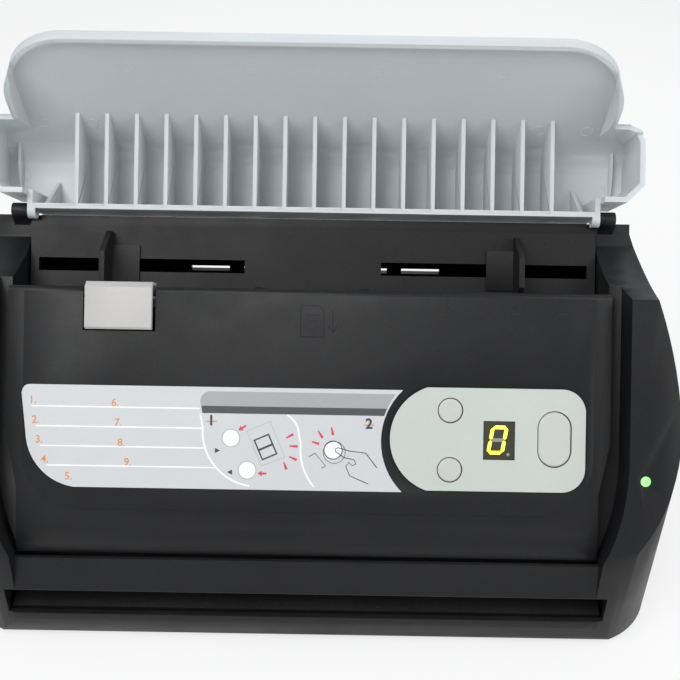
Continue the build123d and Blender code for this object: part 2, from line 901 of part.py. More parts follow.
motor_phase = 90
large_idler_phase = mesh_phase(motor_spot, motor_teeth, motor_phase, large_idler_spot, large_idler_teeth)
transport_phase = mesh_phase(
    large_idler_spot, large_idler_teeth, large_idler_phase, (transport_s, drive_n), roller_teeth
)
exit_phase = mesh_phase(large_idler_spot, large_idler_teeth, large_idler_phase, (exit_s, drive_n), roller_teeth)
small_idler_phase = mesh_phase(
    (transport_s, drive_n), roller_teeth, transport_phase, small_idler_spot, small_idler_teeth
)
feed_phase = mesh_phase(small_idler_spot, small_idler_teeth, small_idler_phase, (feed_s, feed_n), roller_teeth)

with BuildPart() as motor_pinion:
    add(gear(motor_spot, motor_teeth, motor_phase, 0))
    rod(*motor_spot, motor_shaft_radius, gear_x, motor_length / 2 - 1 - frame_x)

with BuildPart() as idler_gear_large:
    add(gear(large_idler_spot, large_idler_teeth, large_idler_phase, motor_shaft_radius + running_gap))

with BuildPart() as idler_gear_small:
    add(gear(small_idler_spot, small_idler_teeth, small_idler_phase, motor_shaft_radius + running_gap))

with BuildPart() as transport_gear:
    add(gear((transport_s, drive_n), roller_teeth, transport_phase, shaft_radius))

with BuildPart() as exit_gear:
    add(gear((exit_s, drive_n), roller_teeth, exit_phase, shaft_radius))

with BuildPart() as feed_gear:
    add(gear((feed_s, feed_n), roller_teeth, feed_phase, shaft_radius))

# Shafts and their rollers


def shaft(place):
    """Plain shaft across the frame with its left end through a gear."""
    with BuildPart() as round_bar:
        rod(*place, shaft_radius, gear_x - gear_width - 0.5, frame_x + frame_sheet + 2)
    return round_bar.part


def roller(place, radius, x_from, x_to):
    """Rubber sleeve on a shaft."""
    with BuildPart() as sleeve:
        rod(*place, radius, x_from, x_to)
        rod(*place, shaft_radius, x_from, x_to, mode=Mode.SUBTRACT)
    return sleeve.part


roller_left = (-roller_x - roller_length / 2, roller_length / 2 - roller_x)
roller_right = (-roller_left[1], -roller_left[0])

with BuildPart() as feed_shaft:
    add(shaft((feed_s, feed_n)))

with BuildPart() as feed_roller:
    add(roller((feed_s, feed_n), feed_radius, -feed_half_length, feed_half_length))

with BuildPart() as transport_shaft:
    add(shaft((transport_s, drive_n)))

with BuildPart() as transport_roller_left:
    add(roller((transport_s, drive_n), drive_radius, *roller_left))

with BuildPart() as transport_roller_right:
    add(roller((transport_s, drive_n), drive_radius, *roller_right))

with BuildPart() as exit_shaft:
    add(shaft((exit_s, drive_n)))

with BuildPart() as exit_roller_left:
    add(roller((exit_s, drive_n), drive_radius, *roller_left))

with BuildPart() as exit_roller_right:
    add(roller((exit_s, drive_n), drive_radius, *roller_right))

# Chute plate and the lower paper guide

with BuildPart() as chute_plate:
    bar(chute_start_s, chute_end_s, path_under_n, path_top_n, -chute_half_width, chute_half_width)
    bar(
        chute_start_s, chute_step_s, path_top_n - chute_step, path_top_n,
        -chute_half_width, chute_half_width, mode=Mode.SUBTRACT,
    )
    bar(chute_start_s + 0.5, bar_end_s - 0.3, bar_n, path_under_n, -roller_x, roller_x)
    for low_x, high_x in both_sides(slot_inner_x, slot_outer_x):
        bar(
            slot_s - slot_width / 2, slot_s + slot_width / 2, path_under_n, path_top_n,
            low_x, high_x, mode=Mode.SUBTRACT,
        )
    peg(0, slot_s, shaft_radius - 1, rack_top_n - rack_height - 1, path_under_n)

with BuildPart() as lower_guide:
    bar(guide_start_s, guide_end_s, path_under_n, path_top_n, -chute_half_width, chute_half_width)
    with BuildSketch(Plane.YZ) as ramp:
        with BuildLine():
            Polyline(
                spot(guide_end_s - 1, path_top_n),
                spot(guide_end_s, path_top_n),
                ramp_middle,
                ramp_end,
                (ramp_end[0], ramp_end[1] - path_plate),
                (ramp_middle[0], ramp_middle[1] - path_plate),
                spot(guide_end_s, path_under_n),
                spot(guide_end_s - 1, path_under_n),
                close=True,
            )
        make_face()
    extrude(ramp.sketch, amount=chute_half_width, both=True)
    for low_x, high_x in both_sides(sensor_half_length + 2, frame_x - 0.4):
        bar(guide_start_s + 2, guide_end_s - 6, path_under_n - rail_depth, path_under_n, low_x, high_x)
    for low_x, high_x in both_sides(frame_x - wall - 0.4, frame_x - 0.4):
        bar(guide_start_s + 4, guide_end_s - 15, feed_n - shaft_radius, path_under_n, low_x, high_x)
    for shaft_s, shaft_n in shaft_spots:
        rod(shaft_s, shaft_n, shaft_radius + 0.4, -frame_x, frame_x, mode=Mode.SUBTRACT)
    bar(
        feed_s - feed_radius + wall, feed_s + feed_radius - wall, path_under_n, path_top_n,
        -feed_half_length - window_gap, feed_half_length + window_gap, mode=Mode.SUBTRACT,
    )
    for shaft_s in (transport_s, exit_s):
        for low_x, high_x in both_sides(roller_right[0] - window_gap, roller_right[1] + window_gap):
            bar(
                shaft_s - drive_radius, shaft_s + drive_radius, path_under_n, path_top_n,
                low_x, high_x, mode=Mode.SUBTRACT,
            )
    bar(
        sensor_s - sensor_width / 2 - 0.3, sensor_s + sensor_width / 2 + 0.3, path_under_n, path_top_n,
        -sensor_half_length - 0.3, sensor_half_length + 0.3, mode=Mode.SUBTRACT,
    )

# Scanning sensors, one under the sheet and one over it


def sensor(n_from, n_to, half_width):
    """Long block across the sheet path."""
    with BuildPart() as long_block:
        bar(
            sensor_s - half_width, sensor_s + half_width, n_from, n_to,
            -sensor_half_length, sensor_half_length,
        )
    return long_block.part


glass_back_n = glass_n + glass_thickness

with BuildPart() as rear_sensor_bar:
    add(sensor(-glass_back_n - sensor_height, -glass_back_n, sensor_width / 2))

with BuildPart() as rear_sensor_glass:
    add(sensor(-glass_back_n, -glass_n, sensor_width / 2 - 1))

with BuildPart() as front_sensor_bar:
    add(sensor(glass_back_n, glass_back_n + sensor_height, sensor_width / 2))

with BuildPart() as front_sensor_glass:
    add(sensor(glass_n, glass_back_n, sensor_width / 2 - 1))

# Paper guides with their racks, and the pinion between them

guide_pitch_radius = rack_module * guide_pinion_teeth / 2
rack_root = tooth_depth * rack_module + rack_bar


def rack_points(side):
    """Toothed bar of the guide on one side, in X and s, with a gap between teeth at the middle."""
    pitch = pi * rack_module
    lean = tan(radians(pressure_angle))
    half_tooth = pitch / 4 - backlash / 2
    points = []
    first = int((rack_ends[0] + pitch) / pitch)
    last = int((rack_ends[1] - pitch) / pitch)
    for tooth in range(first, last):
        middle = (tooth + 0.5) * pitch
        points.append((middle - half_tooth - lean * tooth_depth * rack_module, -tooth_depth * rack_module))
        points.append((middle - half_tooth + lean * tooth_height * rack_module, tooth_height * rack_module))
        points.append((middle + half_tooth - lean * tooth_height * rack_module, tooth_height * rack_module))
        points.append((middle + half_tooth + lean * tooth_depth * rack_module, -tooth_depth * rack_module))
    points = [(rack_ends[0], -rack_root), (rack_ends[0], -tooth_depth * rack_module)] + points
    points += [(rack_ends[1], -tooth_depth * rack_module), (rack_ends[1], -rack_root)]
    return [(-side * x, slot_s + side * (guide_pitch_radius - depth)) for x, depth in points]


def paper_guide(side):
    """Fence, foot, neck and rack of one guide: -1 is the left one, 1 the right one."""

    def span(x_from, x_to):
        return sorted((side * x_from, side * x_to))

    with BuildPart() as guide:
        slab(
            (
                (9.5, path_top_n + 0.2),
                (9.5, path_top_n + 3.2),
                (18, fence_height),
                (29, fence_height),
                (31, fence_height - 2),
                (31, path_top_n + 0.2),
            ),
            *span(fence_x, fence_x + fence_width),
        )
        bar(14.5, 29.5, path_top_n + 0.2, path_top_n + 1, *span(66, fence_x + fence_width))
        bar(
            slot_s - slot_width / 2 + 0.4, slot_s + slot_width / 2 - 0.4, rack_top_n, path_top_n + 0.6,
            *span(68, 73),
        )
        arm_s = sorted((slot_s - side * (slot_width / 2 - 0.4), slot_s + side * (guide_pitch_radius + rack_root)))
        bar(*arm_s, rack_top_n - rack_height, rack_top_n, *span(68, 73))
        with BuildSketch(layer(rack_top_n)) as rack:
            with BuildLine():
                Polyline(*rack_points(side), close=True)
            make_face()
        extrude(rack.sketch, amount=rack_height)
    return guide.part


with BuildPart() as paper_guide_left:
    add(paper_guide(-1))

with BuildPart() as paper_guide_right:
    add(paper_guide(1))

with BuildPart() as guide_pinion:
    with BuildSketch(layer(rack_top_n)) as outline:
        with BuildLine():
            Polyline(
                *[(x, slot_s + s) for x, s in gear_points(guide_pinion_teeth, rack_module, 90)], close=True
            )
        make_face()
        with Locations((0, slot_s)):
            Circle(shaft_radius - 1 + running_gap, mode=Mode.SUBTRACT)
    extrude(outline.sketch, amount=rack_height)

# Lid, drawn open as the sheet tray


def lid_point(reach, height=0):
    """Point on the lid's steep face, a height above its tray side."""
    along = (-cos(radians(lid_bend)), sin(radians(lid_bend)))
    rise = (sin(radians(lid_bend)), cos(radians(lid_bend)))
    return (lid_crest_s + reach * along[0] + height * rise[0], reach * along[1] + height * rise[1])


def lid_corner(depth):
    """Corner between the lid's flat and steep faces at a depth below the tray side."""
    start = lid_point(0, -depth)
    floor = lid_floor_n - depth
    return (start[0] - (floor - start[1]) / tan(radians(lid_bend)), floor)


def lid_plan(inset=0):
    """Outline of the lid square to the slope: hinge end, ears and narrow part, shrunk by the inset."""
    far_s = 2 * lid_crest_s
    with BuildSketch(layer(2 * lid_reach)) as plan:
        with BuildLine():
            Polyline(
                (0, lid_low_s),
                (lid_hub_x, lid_low_s),
                (lid_hub_x, ear_low_s),
                (ear_half_width - ear_chamfer, ear_low_s),
                (ear_half_width, ear_low_s - ear_chamfer),
                (ear_half_width, ear_notch_s + ear_round),
                (ear_half_width - ear_round / 3, ear_notch_s + ear_round / 3),
                (ear_half_width - ear_round, ear_notch_s),
                (lid_half_width, ear_notch_s),
                (lid_half_width, far_s),
                (0, far_s),
            )
            mirror(about=Plane.YZ)
        make_face()
        if inset:
            offset(amount=-inset, kind=Kind.INTERSECTION)
    return plan.sketch


def steep_plane():
    """Plane on the tray side of the lid's steep face, for outlines in X and reach."""
    foot_y, foot_z = spot(*lid_point(0))
    high_y, high_z = spot(*lid_point(0, 1))
    return Plane(origin=(0, foot_y, foot_z), x_dir=(1, 0, 0), z_dir=(0, high_y - foot_y, high_z - foot_z))


def lid_form(depth, inset):
    """Solid that the lid's outer or inner surface bounds."""
    corner = lid_corner(depth)
    top_n = 4 * lid_rim
    with BuildPart() as form:
        with BuildSketch(section(ear_half_width + 1)) as profile:
            with BuildLine():
                Polyline(
                    (lid_low_s - inset, corner[1]),
                    corner,
                    lid_point(lid_reach - inset, -depth),
                    lid_point(lid_reach - inset, top_n),
                    (lid_low_s - inset, top_n),
                    close=True,
                )
            make_face()
            fillet(profile.vertices().sort_by_distance(corner)[0], lid_bend_radius + depth)
        extrude(profile.sketch, amount=2 * ear_half_width + 2)
        extrude(lid_plan(inset), amount=4 * lid_reach, mode=Mode.INTERSECT)
        with BuildSketch(steep_plane()) as face:
            Rectangle(2 * (lid_half_width - inset), 2 * (lid_reach - inset))
            fillet(face.vertices(), lid_corner_radius - inset)
            with Locations((0, -lid_reach)):
                Rectangle(2 * body_half_width, 2 * (2 * lid_reach - lid_corner_radius))
        extrude(face.sketch, amount=4 * lid_reach, both=True, mode=Mode.INTERSECT)
    return form.part


with BuildPart() as lid_shell:
    add(lid_form(lid_wall, 0))
    add(lid_form(0, lid_wall), mode=Mode.SUBTRACT)
    rim_reach = (ear_rim_n - lid_point(0, lid_rim)[1]) / sin(radians(lid_bend))
    slab(
        (
            (lid_low_s + 1, lid_low_rim_n),
            (ear_low_s, lid_low_rim_n),
            (ear_low_s, ear_rim_n),
            lid_point(rim_reach, lid_rim),
            lid_point(lid_reach + 1, lid_rim),
            lid_point(lid_reach + 1, 8 * lid_rim),
            (lid_low_s + 1, 4 * lid_rim),
        ),
        -body_half_width,
        body_half_width,
        mode=Mode.SUBTRACT,
    )
    ear_reach = (ear_rim_n - lid_point(0, ear_rim)[1]) / sin(radians(lid_bend))
    for low_x, high_x in both_sides(lid_half_width, body_half_width):
        slab(
            (
                lid_point(ear_reach, ear_rim),
                lid_point(lid_reach + 1, ear_rim),
                lid_point(lid_reach + 1, 8 * lid_rim),
                lid_point(ear_reach, 8 * lid_rim),
            ),
            low_x,
            high_x,
            mode=Mode.SUBTRACT,
        )
    bar(
        ear_low_s - lid_wall - 1, lid_low_s, lid_low_rim_n, ear_rim_n + 1,
        -lid_hub_x, lid_hub_x, mode=Mode.SUBTRACT,
    )
    slab(
        (
            lid_point(lid_reach - lid_corner_radius - lid_wall, lid_lip),
            lid_point(lid_reach + 1, lid_lip),
            lid_point(lid_reach + 1, lid_rim + 1),
            lid_point(lid_reach - lid_corner_radius - lid_wall, lid_rim + 1),
        ),
        -well_half_width,
        well_half_width,
        mode=Mode.SUBTRACT,
    )
    inner_corner = lid_corner(0.3)
    rib_low_s = lid_low_s - lid_wall / 2
    corner_reach = -inner_corner[1] / -sin(radians(lid_bend)) + 3
    for rib in range(-rib_pairs, rib_pairs + 1):
        slab(
            (
                (rib_low_s, inner_corner[1]),
                (rib_low_s, lid_low_rim_n),
                lid_point(0, -0.3),
                lid_point(corner_reach, -0.3),
                (inner_corner[0] + 3, inner_corner[1]),
            ),
            rib * rib_pitch - rib_width / 2,
            rib * rib_pitch + rib_width / 2,
        )
    for low_x, high_x in both_sides((rib_pairs + 1) * rib_pitch, (rib_pairs + 1) * rib_pitch + rib_width):
        slab(
            (
                (rib_low_s, inner_corner[1]),
                (rib_low_s, lid_low_rim_n - 1),
                (rib_low_s - lid_bend_radius, inner_corner[1]),
            ),
            low_x,
            high_x,
        )
    for low_x, high_x in both_sides(lid_hub_x - lug_radius, lid_hub_x):
        rod(lid_hinge_s, lid_hinge_n, lug_radius, low_x, high_x)
        rod(lid_hinge_s, lid_hinge_n, hinge_pin_radius, low_x - 1, high_x + 1, mode=Mode.SUBTRACT)

with BuildPart() as lid_hinge_pins:
    for low_x, high_x in both_sides(lid_hub_x - lug_radius, lug_end_x - 0.5):
        rod(lid_hinge_s, lid_hinge_n, hinge_pin_radius, low_x, high_x)

# Front cover shell

cover_inside = cover_half_width - cover_wall
board_corners = [(x, s) for x in (board_x[0] + 4, board_x[1] - 4) for s in (board_s[0] + 3.5, board_s[1] - 3.5)]
plate_post_x = cover_half_width - plate_post_side
inner_plate_posts = [(x, s) for x in (-plate_post_x, plate_post_x) for s in plate_post_s]
round_buttons = ((round_button_x, up_button_s), (round_button_x, down_button_s))


def cover_side(depth):
    """Side form of the cover, drawn at a depth below its skin."""
    inner = depth > 0
    low_n = 0 if inner else cover_bottom_n
    top_n = cover_base_n - depth
    radius = roll_radius - depth
    with BuildPart() as form:
        with BuildSketch(section(cover_half_width)) as profile:
            with BuildLine():
                skin = Polyline((cover_top_s + depth, low_n), (cover_top_s + depth, top_n), (roll_s, top_n))
                roll = ThreePointArc(
                    skin @ 1, on_roll(radius, (90 + cover_end_angle) / 2), on_roll(radius, cover_end_angle)
                )
                heel = (on_roll(2 * radius, 0),) if inner else (on_roll(hub_radius, -20),)
                Polyline(roll @ 1, *heel, (roll_s, low_n), skin @ 0)
            make_face()
            fillet(
                profile.vertices().sort_by_distance((cover_top_s + depth, top_n))[0],
                cover_edge_round,
            )
        extrude(profile.sketch, amount=2 * cover_half_width)
        extrude(cover_outline(depth), amount=pod_height + 2 * wall + roll_radius, mode=Mode.INTERSECT)
    return form.part


def panel_outline(inset=0):
    """Outline of the control panel in X and s, shrunk by the inset."""
    middle_s = (panel_top_s + panel_end_s) / 2
    with BuildSketch(layer(cover_height + panel_plate)) as outline:
        with BuildLine():
            bulge = ThreePointArc(
                (panel_left_x + panel_bulge, panel_end_s),
                (panel_left_x, middle_s),
                (panel_left_x + panel_bulge, panel_top_s),
            )
            Polyline(bulge @ 1, (panel_right_x, panel_top_s), (panel_right_x, panel_end_s), bulge @ 0)
        make_face()
        fillet(outline.vertices().group_by(Axis.X)[-1], panel_corner)
        if inset:
            offset(amount=-inset)
    return outline.sketch


def control_openings(gap, n_from, n_to):
    """Openings for the buttons and the display between two heights."""
    for x, s in round_buttons:
        peg(x, s, round_button_radius + gap, n_from, n_to, mode=Mode.SUBTRACT)
    pill(scan_x, scan_s, scan_width + 2 * gap, scan_length + 2 * gap, n_from, n_to, mode=Mode.SUBTRACT)
    with BuildSketch(layer(n_to)) as window:
        with Locations((display_x, display_s)):
            Rectangle(display_width + gap, display_length + gap)
    extrude(window.sketch, amount=n_to - n_from, mode=Mode.SUBTRACT)


with BuildPart() as front_cover_shell:
    add(cover_side(0))
    with BuildSketch(layer(cover_height)) as raised:
        with Locations((0, (cover_top_s + cover_edge_round + pad_end_s) / 2)):
            Rectangle(2 * pad_half_width, pad_end_s - cover_top_s - cover_edge_round)
        fillet(raised.vertices().group_by(Axis.Y)[-1], pad_corner)
    extrude(raised.sketch, amount=2 * pad_rise)
    add(cover_side(cover_wall), mode=Mode.SUBTRACT)
    extrude(panel_outline(), amount=panel_plate + panel_recess, mode=Mode.SUBTRACT)
    control_openings(button_gap, cover_skin_n - 1, cover_height)
    bar(lever_s[0], notch_s, latch_n - 5, cover_height + 1, *notch_x, mode=Mode.SUBTRACT)
    for side in (-1, 1):
        middle_x = side * finger_x
        bar(
            cover_top_s - 1, cover_top_s + cover_wall + 1, 0, finger_pin_n,
            middle_x - finger_width, middle_x + finger_width, mode=Mode.SUBTRACT,
        )
    for low_x, high_x in both_sides(cover_inside - 0.5, cover_half_width + 0.5):
        bar(stud_s - 2.5, stud_s + 2.5, 0, stud_n + 2.5, low_x, high_x, mode=Mode.SUBTRACT)
    for low_x, high_x in both_sides(hook_x[0] - 1, cover_inside):
        bar(cover_top_s - 1, stud_s + 2.5, 0, stud_n + 3, low_x, high_x, mode=Mode.SUBTRACT)
    for low_x, high_x in both_sides(cover_low_half_width - hub_radius, cover_low_half_width):
        rod(roll_s, roll_n, hub_radius, low_x, high_x)
        rod(roll_s, roll_n, hub_pin_radius + running_gap, low_x - 1, high_x + 1, mode=Mode.SUBTRACT)
    for low_x, high_x in both_sides(plate_post_x - latch_rib, plate_post_x):
        bar(
            cover_top_s + cover_wall / 2, latch_s + 2 * latch_radius, latch_n - 2 * latch_radius,
            cover_skin_n + 0.2, low_x, high_x,
        )
        rod(latch_s, latch_n, latch_radius + running_gap, low_x - 1, high_x + 1, mode=Mode.SUBTRACT)
    for x, s in board_corners:
        peg(x, s, 2.2, board_top_n, cover_skin_n + 0.2)
    for x, s in inner_plate_posts:
        peg(x, s, 3, cover_bottom_n + cover_wall, cover_skin_n + 0.2)

# Inner guide of the cover with its bearings

plate_n = cover_bottom_n + cover_wall

with BuildPart() as front_cover_inner:
    extrude(cover_outline(cover_wall + 0.3), amount=2 * pod_height)
    bar(
        cover_top_s + cover_wall + 0.6, roll_s - hub_radius, cover_bottom_n, plate_n,
        -cover_half_width, cover_half_width, mode=Mode.INTERSECT,
    )
    bar(
        sensor_s - sensor_width / 2 - 0.3, sensor_s + sensor_width / 2 + 0.3, cover_bottom_n, plate_n,
        -sensor_half_length - 0.3, sensor_half_length + 0.3, mode=Mode.SUBTRACT,
    )
    for low_x, high_x in both_sides(hook_x[0] - 1, cover_half_width):
        bar(cover_top_s, latch_s + 9, 0, plate_n + 1, low_x, high_x, mode=Mode.SUBTRACT)
    for side in (-1, 1):
        middle_x = side * finger_x
        bar(
            cover_top_s, finger_pin_s - 1, 0, plate_n + 1,
            middle_x - finger_width, middle_x + finger_width, mode=Mode.SUBTRACT,
        )
    bar(
        sheet_pad_s[0] - 1, pad_pin_s + 4, 0, plate_n + 1,
        -sheet_pad_half_width - 1, sheet_pad_half_width + 1, mode=Mode.SUBTRACT,
    )
    for shaft_s in (transport_s, exit_s):
        rod(
            shaft_s, pinch_n, pinch_shaft_radius + 0.4,
            -pinch_half_length - 1, pinch_half_length + 1, mode=Mode.SUBTRACT,
        )
        for low_x, high_x in both_sides(roller_right[0] - window_gap, roller_right[1] + window_gap):
            bar(
                shaft_s - pinch_radius - 1, shaft_s + pinch_radius + 1, 0, plate_n + 1,
                low_x, high_x, mode=Mode.SUBTRACT,
            )
        for low_x, high_x in both_sides(pinch_half_length - 3.5, pinch_half_length - 0.5):
            bar(shaft_s - 3.5, shaft_s + 3.5, cover_bottom_n, pinch_n + 3, low_x, high_x)
            rod(
                shaft_s, pinch_n, pinch_shaft_radius + running_gap,
                low_x - 1, high_x + 1, mode=Mode.SUBTRACT,
            )
    for low_x, high_x in both_sides(sheet_pad_half_width + 1.5, sheet_pad_half_width + 3.5):
        bar(pad_pin_s - 2.5, pad_pin_s + 2.5, cover_bottom_n, pad_pin_n + 2.5, low_x, high_x)
        rod(pad_pin_s, pad_pin_n, pad_pin_radius, low_x - 1, high_x + 1, mode=Mode.SUBTRACT)
    for low_x, high_x in both_sides(finger_x + finger_width + 0.5, finger_x + finger_width + 2.5):
        bar(finger_pin_s - 2.5, finger_pin_s + 2.5, cover_bottom_n, finger_pin_n + 2.5, low_x, high_x)
        rod(finger_pin_s, finger_pin_n, finger_pin_radius, low_x - 1, high_x + 1, mode=Mode.SUBTRACT)

# Pinch rollers that press the sheet on the driven ones


def pinch_roller(s):
    """Thin shaft with two free rollers."""
    with BuildPart() as pair:
        rod(s, pinch_n, pinch_shaft_radius, -pinch_half_length, pinch_half_length)
        rod(s, pinch_n, pinch_radius, *roller_left)
        rod(s, pinch_n, pinch_radius, *roller_right)
    return pair.part


with BuildPart() as transport_pinch:
    add(pinch_roller(transport_s))

with BuildPart() as exit_pinch:
    add(pinch_roller(exit_s))

# Separation pad over the feed roller

with BuildPart() as separation_pad:
    bar(*sheet_pad_s, *sheet_pad_n, -sheet_pad_half_width, sheet_pad_half_width)

with BuildPart() as separation_pad_holder:
    slab(
        (
            (sheet_pad_s[0], sheet_pad_n[1]),
            (sheet_pad_s[1], sheet_pad_n[1]),
            (pad_pin_s, pad_pin_n - 2),
            (pad_pin_s + 2, pad_pin_n),
            (pad_pin_s, pad_pin_n + 2),
            (sheet_pad_s[0], sheet_pad_n[1] + 2.5),
        ),
        -sheet_pad_half_width,
        sheet_pad_half_width,
    )
    rod(
        pad_pin_s, pad_pin_n, pad_pin_radius + running_gap,
        -sheet_pad_half_width - 1, sheet_pad_half_width + 1, mode=Mode.SUBTRACT,
    )

with BuildPart() as separation_pad_pin:
    rod(pad_pin_s, pad_pin_n, pad_pin_radius, -sheet_pad_half_width - 3.5, sheet_pad_half_width + 3.5)

# Hold-down fingers on one pin


def finger(side):
    """Bent finger whose tip rests over the sheet's edge."""
    span = (side * finger_x - finger_width / 2, side * finger_x + finger_width / 2)
    with BuildPart() as blade:
        rod(finger_pin_s, finger_pin_n, 2.8, *span)
        slab(
            (
                finger_tip,
                (finger_tip[0] + 2, finger_tip[1] - 0.4),
                (finger_pin_s + 1, finger_pin_n - 2.6),
                (finger_pin_s - 1.5, finger_pin_n + 2.3),
                (finger_tip[0], finger_tip[1] + 2),
            ),
            *span,
        )
        rod(
            finger_pin_s, finger_pin_n, finger_pin_radius + running_gap,
            span[0] - 1, span[1] + 1, mode=Mode.SUBTRACT,
        )
    return blade.part


with BuildPart() as hold_down_finger_left:
    add(finger(-1))

with BuildPart() as hold_down_finger_right:
    add(finger(1))

with BuildPart() as hold_down_pin:
    rod(
        finger_pin_s, finger_pin_n, finger_pin_radius,
        -finger_x - finger_width - 2.5, finger_x + finger_width + 2.5,
    )

# Control board with its switches, display, panel and buttons

switch_top_n = board_top_n + 3.8
stem_end_n = switch_top_n + button_travel + 0.2
button_spots = round_buttons + ((scan_x, scan_s),)

with BuildPart() as control_board:
    with BuildSketch(layer(board_top_n)) as outline:
        with Locations((sum(board_x) / 2, sum(board_s) / 2)):
            Rectangle(board_x[1] - board_x[0], board_s[1] - board_s[0])
    extrude(outline.sketch, amount=board_thickness)
    for x, s in button_spots:
        bar(s - 3, s + 3, board_top_n, switch_top_n - 1, x - 3, x + 3)
        peg(x, s, 1.7, board_top_n, switch_top_n)

with BuildPart() as display_module:
    bar(
        display_s - display_length / 2, display_s + display_length / 2, board_top_n, cover_height - 0.1,
        display_x - display_width / 2, display_x + display_width / 2,
    )

with BuildPart() as control_panel:
    extrude(panel_outline(panel_gap), amount=panel_plate)
    control_openings(button_gap, panel_floor_n - 1, cover_height + panel_plate)


def round_button(s):
    """Round push button with its retaining flange and stem."""
    with BuildPart() as button:
        peg(round_button_x, s, round_button_radius, stem_end_n + 1, button_top_n)
        fillet(button.faces().sort_by_distance((round_button_x, *spot(s, button_top_n)))[0].edges(), 0.7)
        peg(
            round_button_x, s, round_button_radius + button_flange,
            cover_skin_n - 1.2, cover_skin_n - 0.1,
        )
        peg(round_button_x, s, 1.5, stem_end_n, stem_end_n + 1.5)
    return button.part


with BuildPart() as up_button:
    add(round_button(up_button_s))

with BuildPart() as down_button:
    add(round_button(down_button_s))

with BuildPart() as scan_button:
    pill(scan_x, scan_s, scan_width, scan_length, cover_skin_n - 1, button_top_n)
    fillet(scan_button.faces().sort_by_distance((scan_x, *spot(scan_s, button_top_n)))[0].edges(), 0.9)
    pill(
        scan_x, scan_s, scan_width + 2 * button_flange, scan_length + 2 * button_flange,
        cover_skin_n - 1.2, cover_skin_n - 0.1,
    )
    peg(scan_x, scan_s, 1.5, stem_end_n, cover_skin_n - 1)

# Function label, a thin strip to the left of the panel

with BuildPart() as function_label:
    with BuildSketch(layer(cover_height + label_thickness)) as outline:
        with BuildLine():
            hollow = ThreePointArc(
                (label_right_x, label_top_s),
                (label_hollow_x, (label_top_s + label_end_s) / 2),
                (label_right_x, label_end_s),
            )
            low_edge = Line(hollow @ 1, (-83, label_end_s))
            bend = ThreePointArc(low_edge @ 1, (-95.2, 96.3), (-100.2, 84))
            Polyline(bend @ 1, (-101.8, label_top_s + 3), (-98.8, label_top_s), hollow @ 0)
        make_face()
    extrude(outline.sketch, amount=label_thickness)

# Release lever and the latch bar that it turns

with BuildPart() as release_lever:
    slab(
        (
            (lever_s[0], latch_n + 2),
            (lever_s[0] + 1.3, latch_n + 2),
            (lever_s[0] + 1.3, lever_top_n - lever_plate),
            (lever_s[1], lever_top_n - lever_plate),
            (lever_s[1], lever_top_n - 0.8),
            (lever_s[1] - 0.8, lever_top_n),
            (lever_s[0] + 2, lever_top_n),
            (lever_s[0], lever_top_n - 2),
        ),
        *lever_x,
    )
    lever_middle_x = sum(lever_x) / 2
    rod(latch_s, latch_n, 2 * latch_radius, lever_middle_x - 3, lever_middle_x + 3)
    slab(
        (
            (latch_s - 2, latch_n),
            (latch_s + 2, latch_n),
            (latch_s + 6, lever_top_n - lever_plate + 0.2),
            (latch_s - 2, lever_top_n - lever_plate + 0.2),
        ),
        lever_middle_x - 3,
        lever_middle_x + 3,
    )
    rod(latch_s, latch_n, latch_radius, lever_middle_x - 4, lever_middle_x + 4, mode=Mode.SUBTRACT)

with BuildPart() as latch_bar:
    rod(latch_s, latch_n, latch_radius, -hook_x[1], hook_x[1])
    for low_x, high_x in both_sides(*hook_x):
        rod(latch_s, latch_n, latch_radius + 0.4, low_x, high_x)
        slab(
            (
                (latch_s - 1, latch_n),
                (latch_s + 3.4, latch_n),
                (stud_s + 5, stud_n),
                (stud_s + 5, stud_n - stud_radius - 1.8),
                (stud_s - 1.5, stud_n - stud_radius - 1.8),
                (stud_s - 1.5, stud_n - stud_radius - 0.3),
                (stud_s + stud_radius + 0.6, stud_n - stud_radius - 0.3),
                (stud_s + stud_radius + 0.6, stud_n + stud_radius + 1),
            ),
            low_x,
            high_x,
        )

# Lens of the power light

with BuildPart() as power_light_lens:
    peg(light_x, light_s, light_radius, pod_height - wall - 1, pod_height - 0.3)
    peg(light_x, light_s, light_flange, pod_height - wall - 1, pod_height - wall)

# One file for each piece

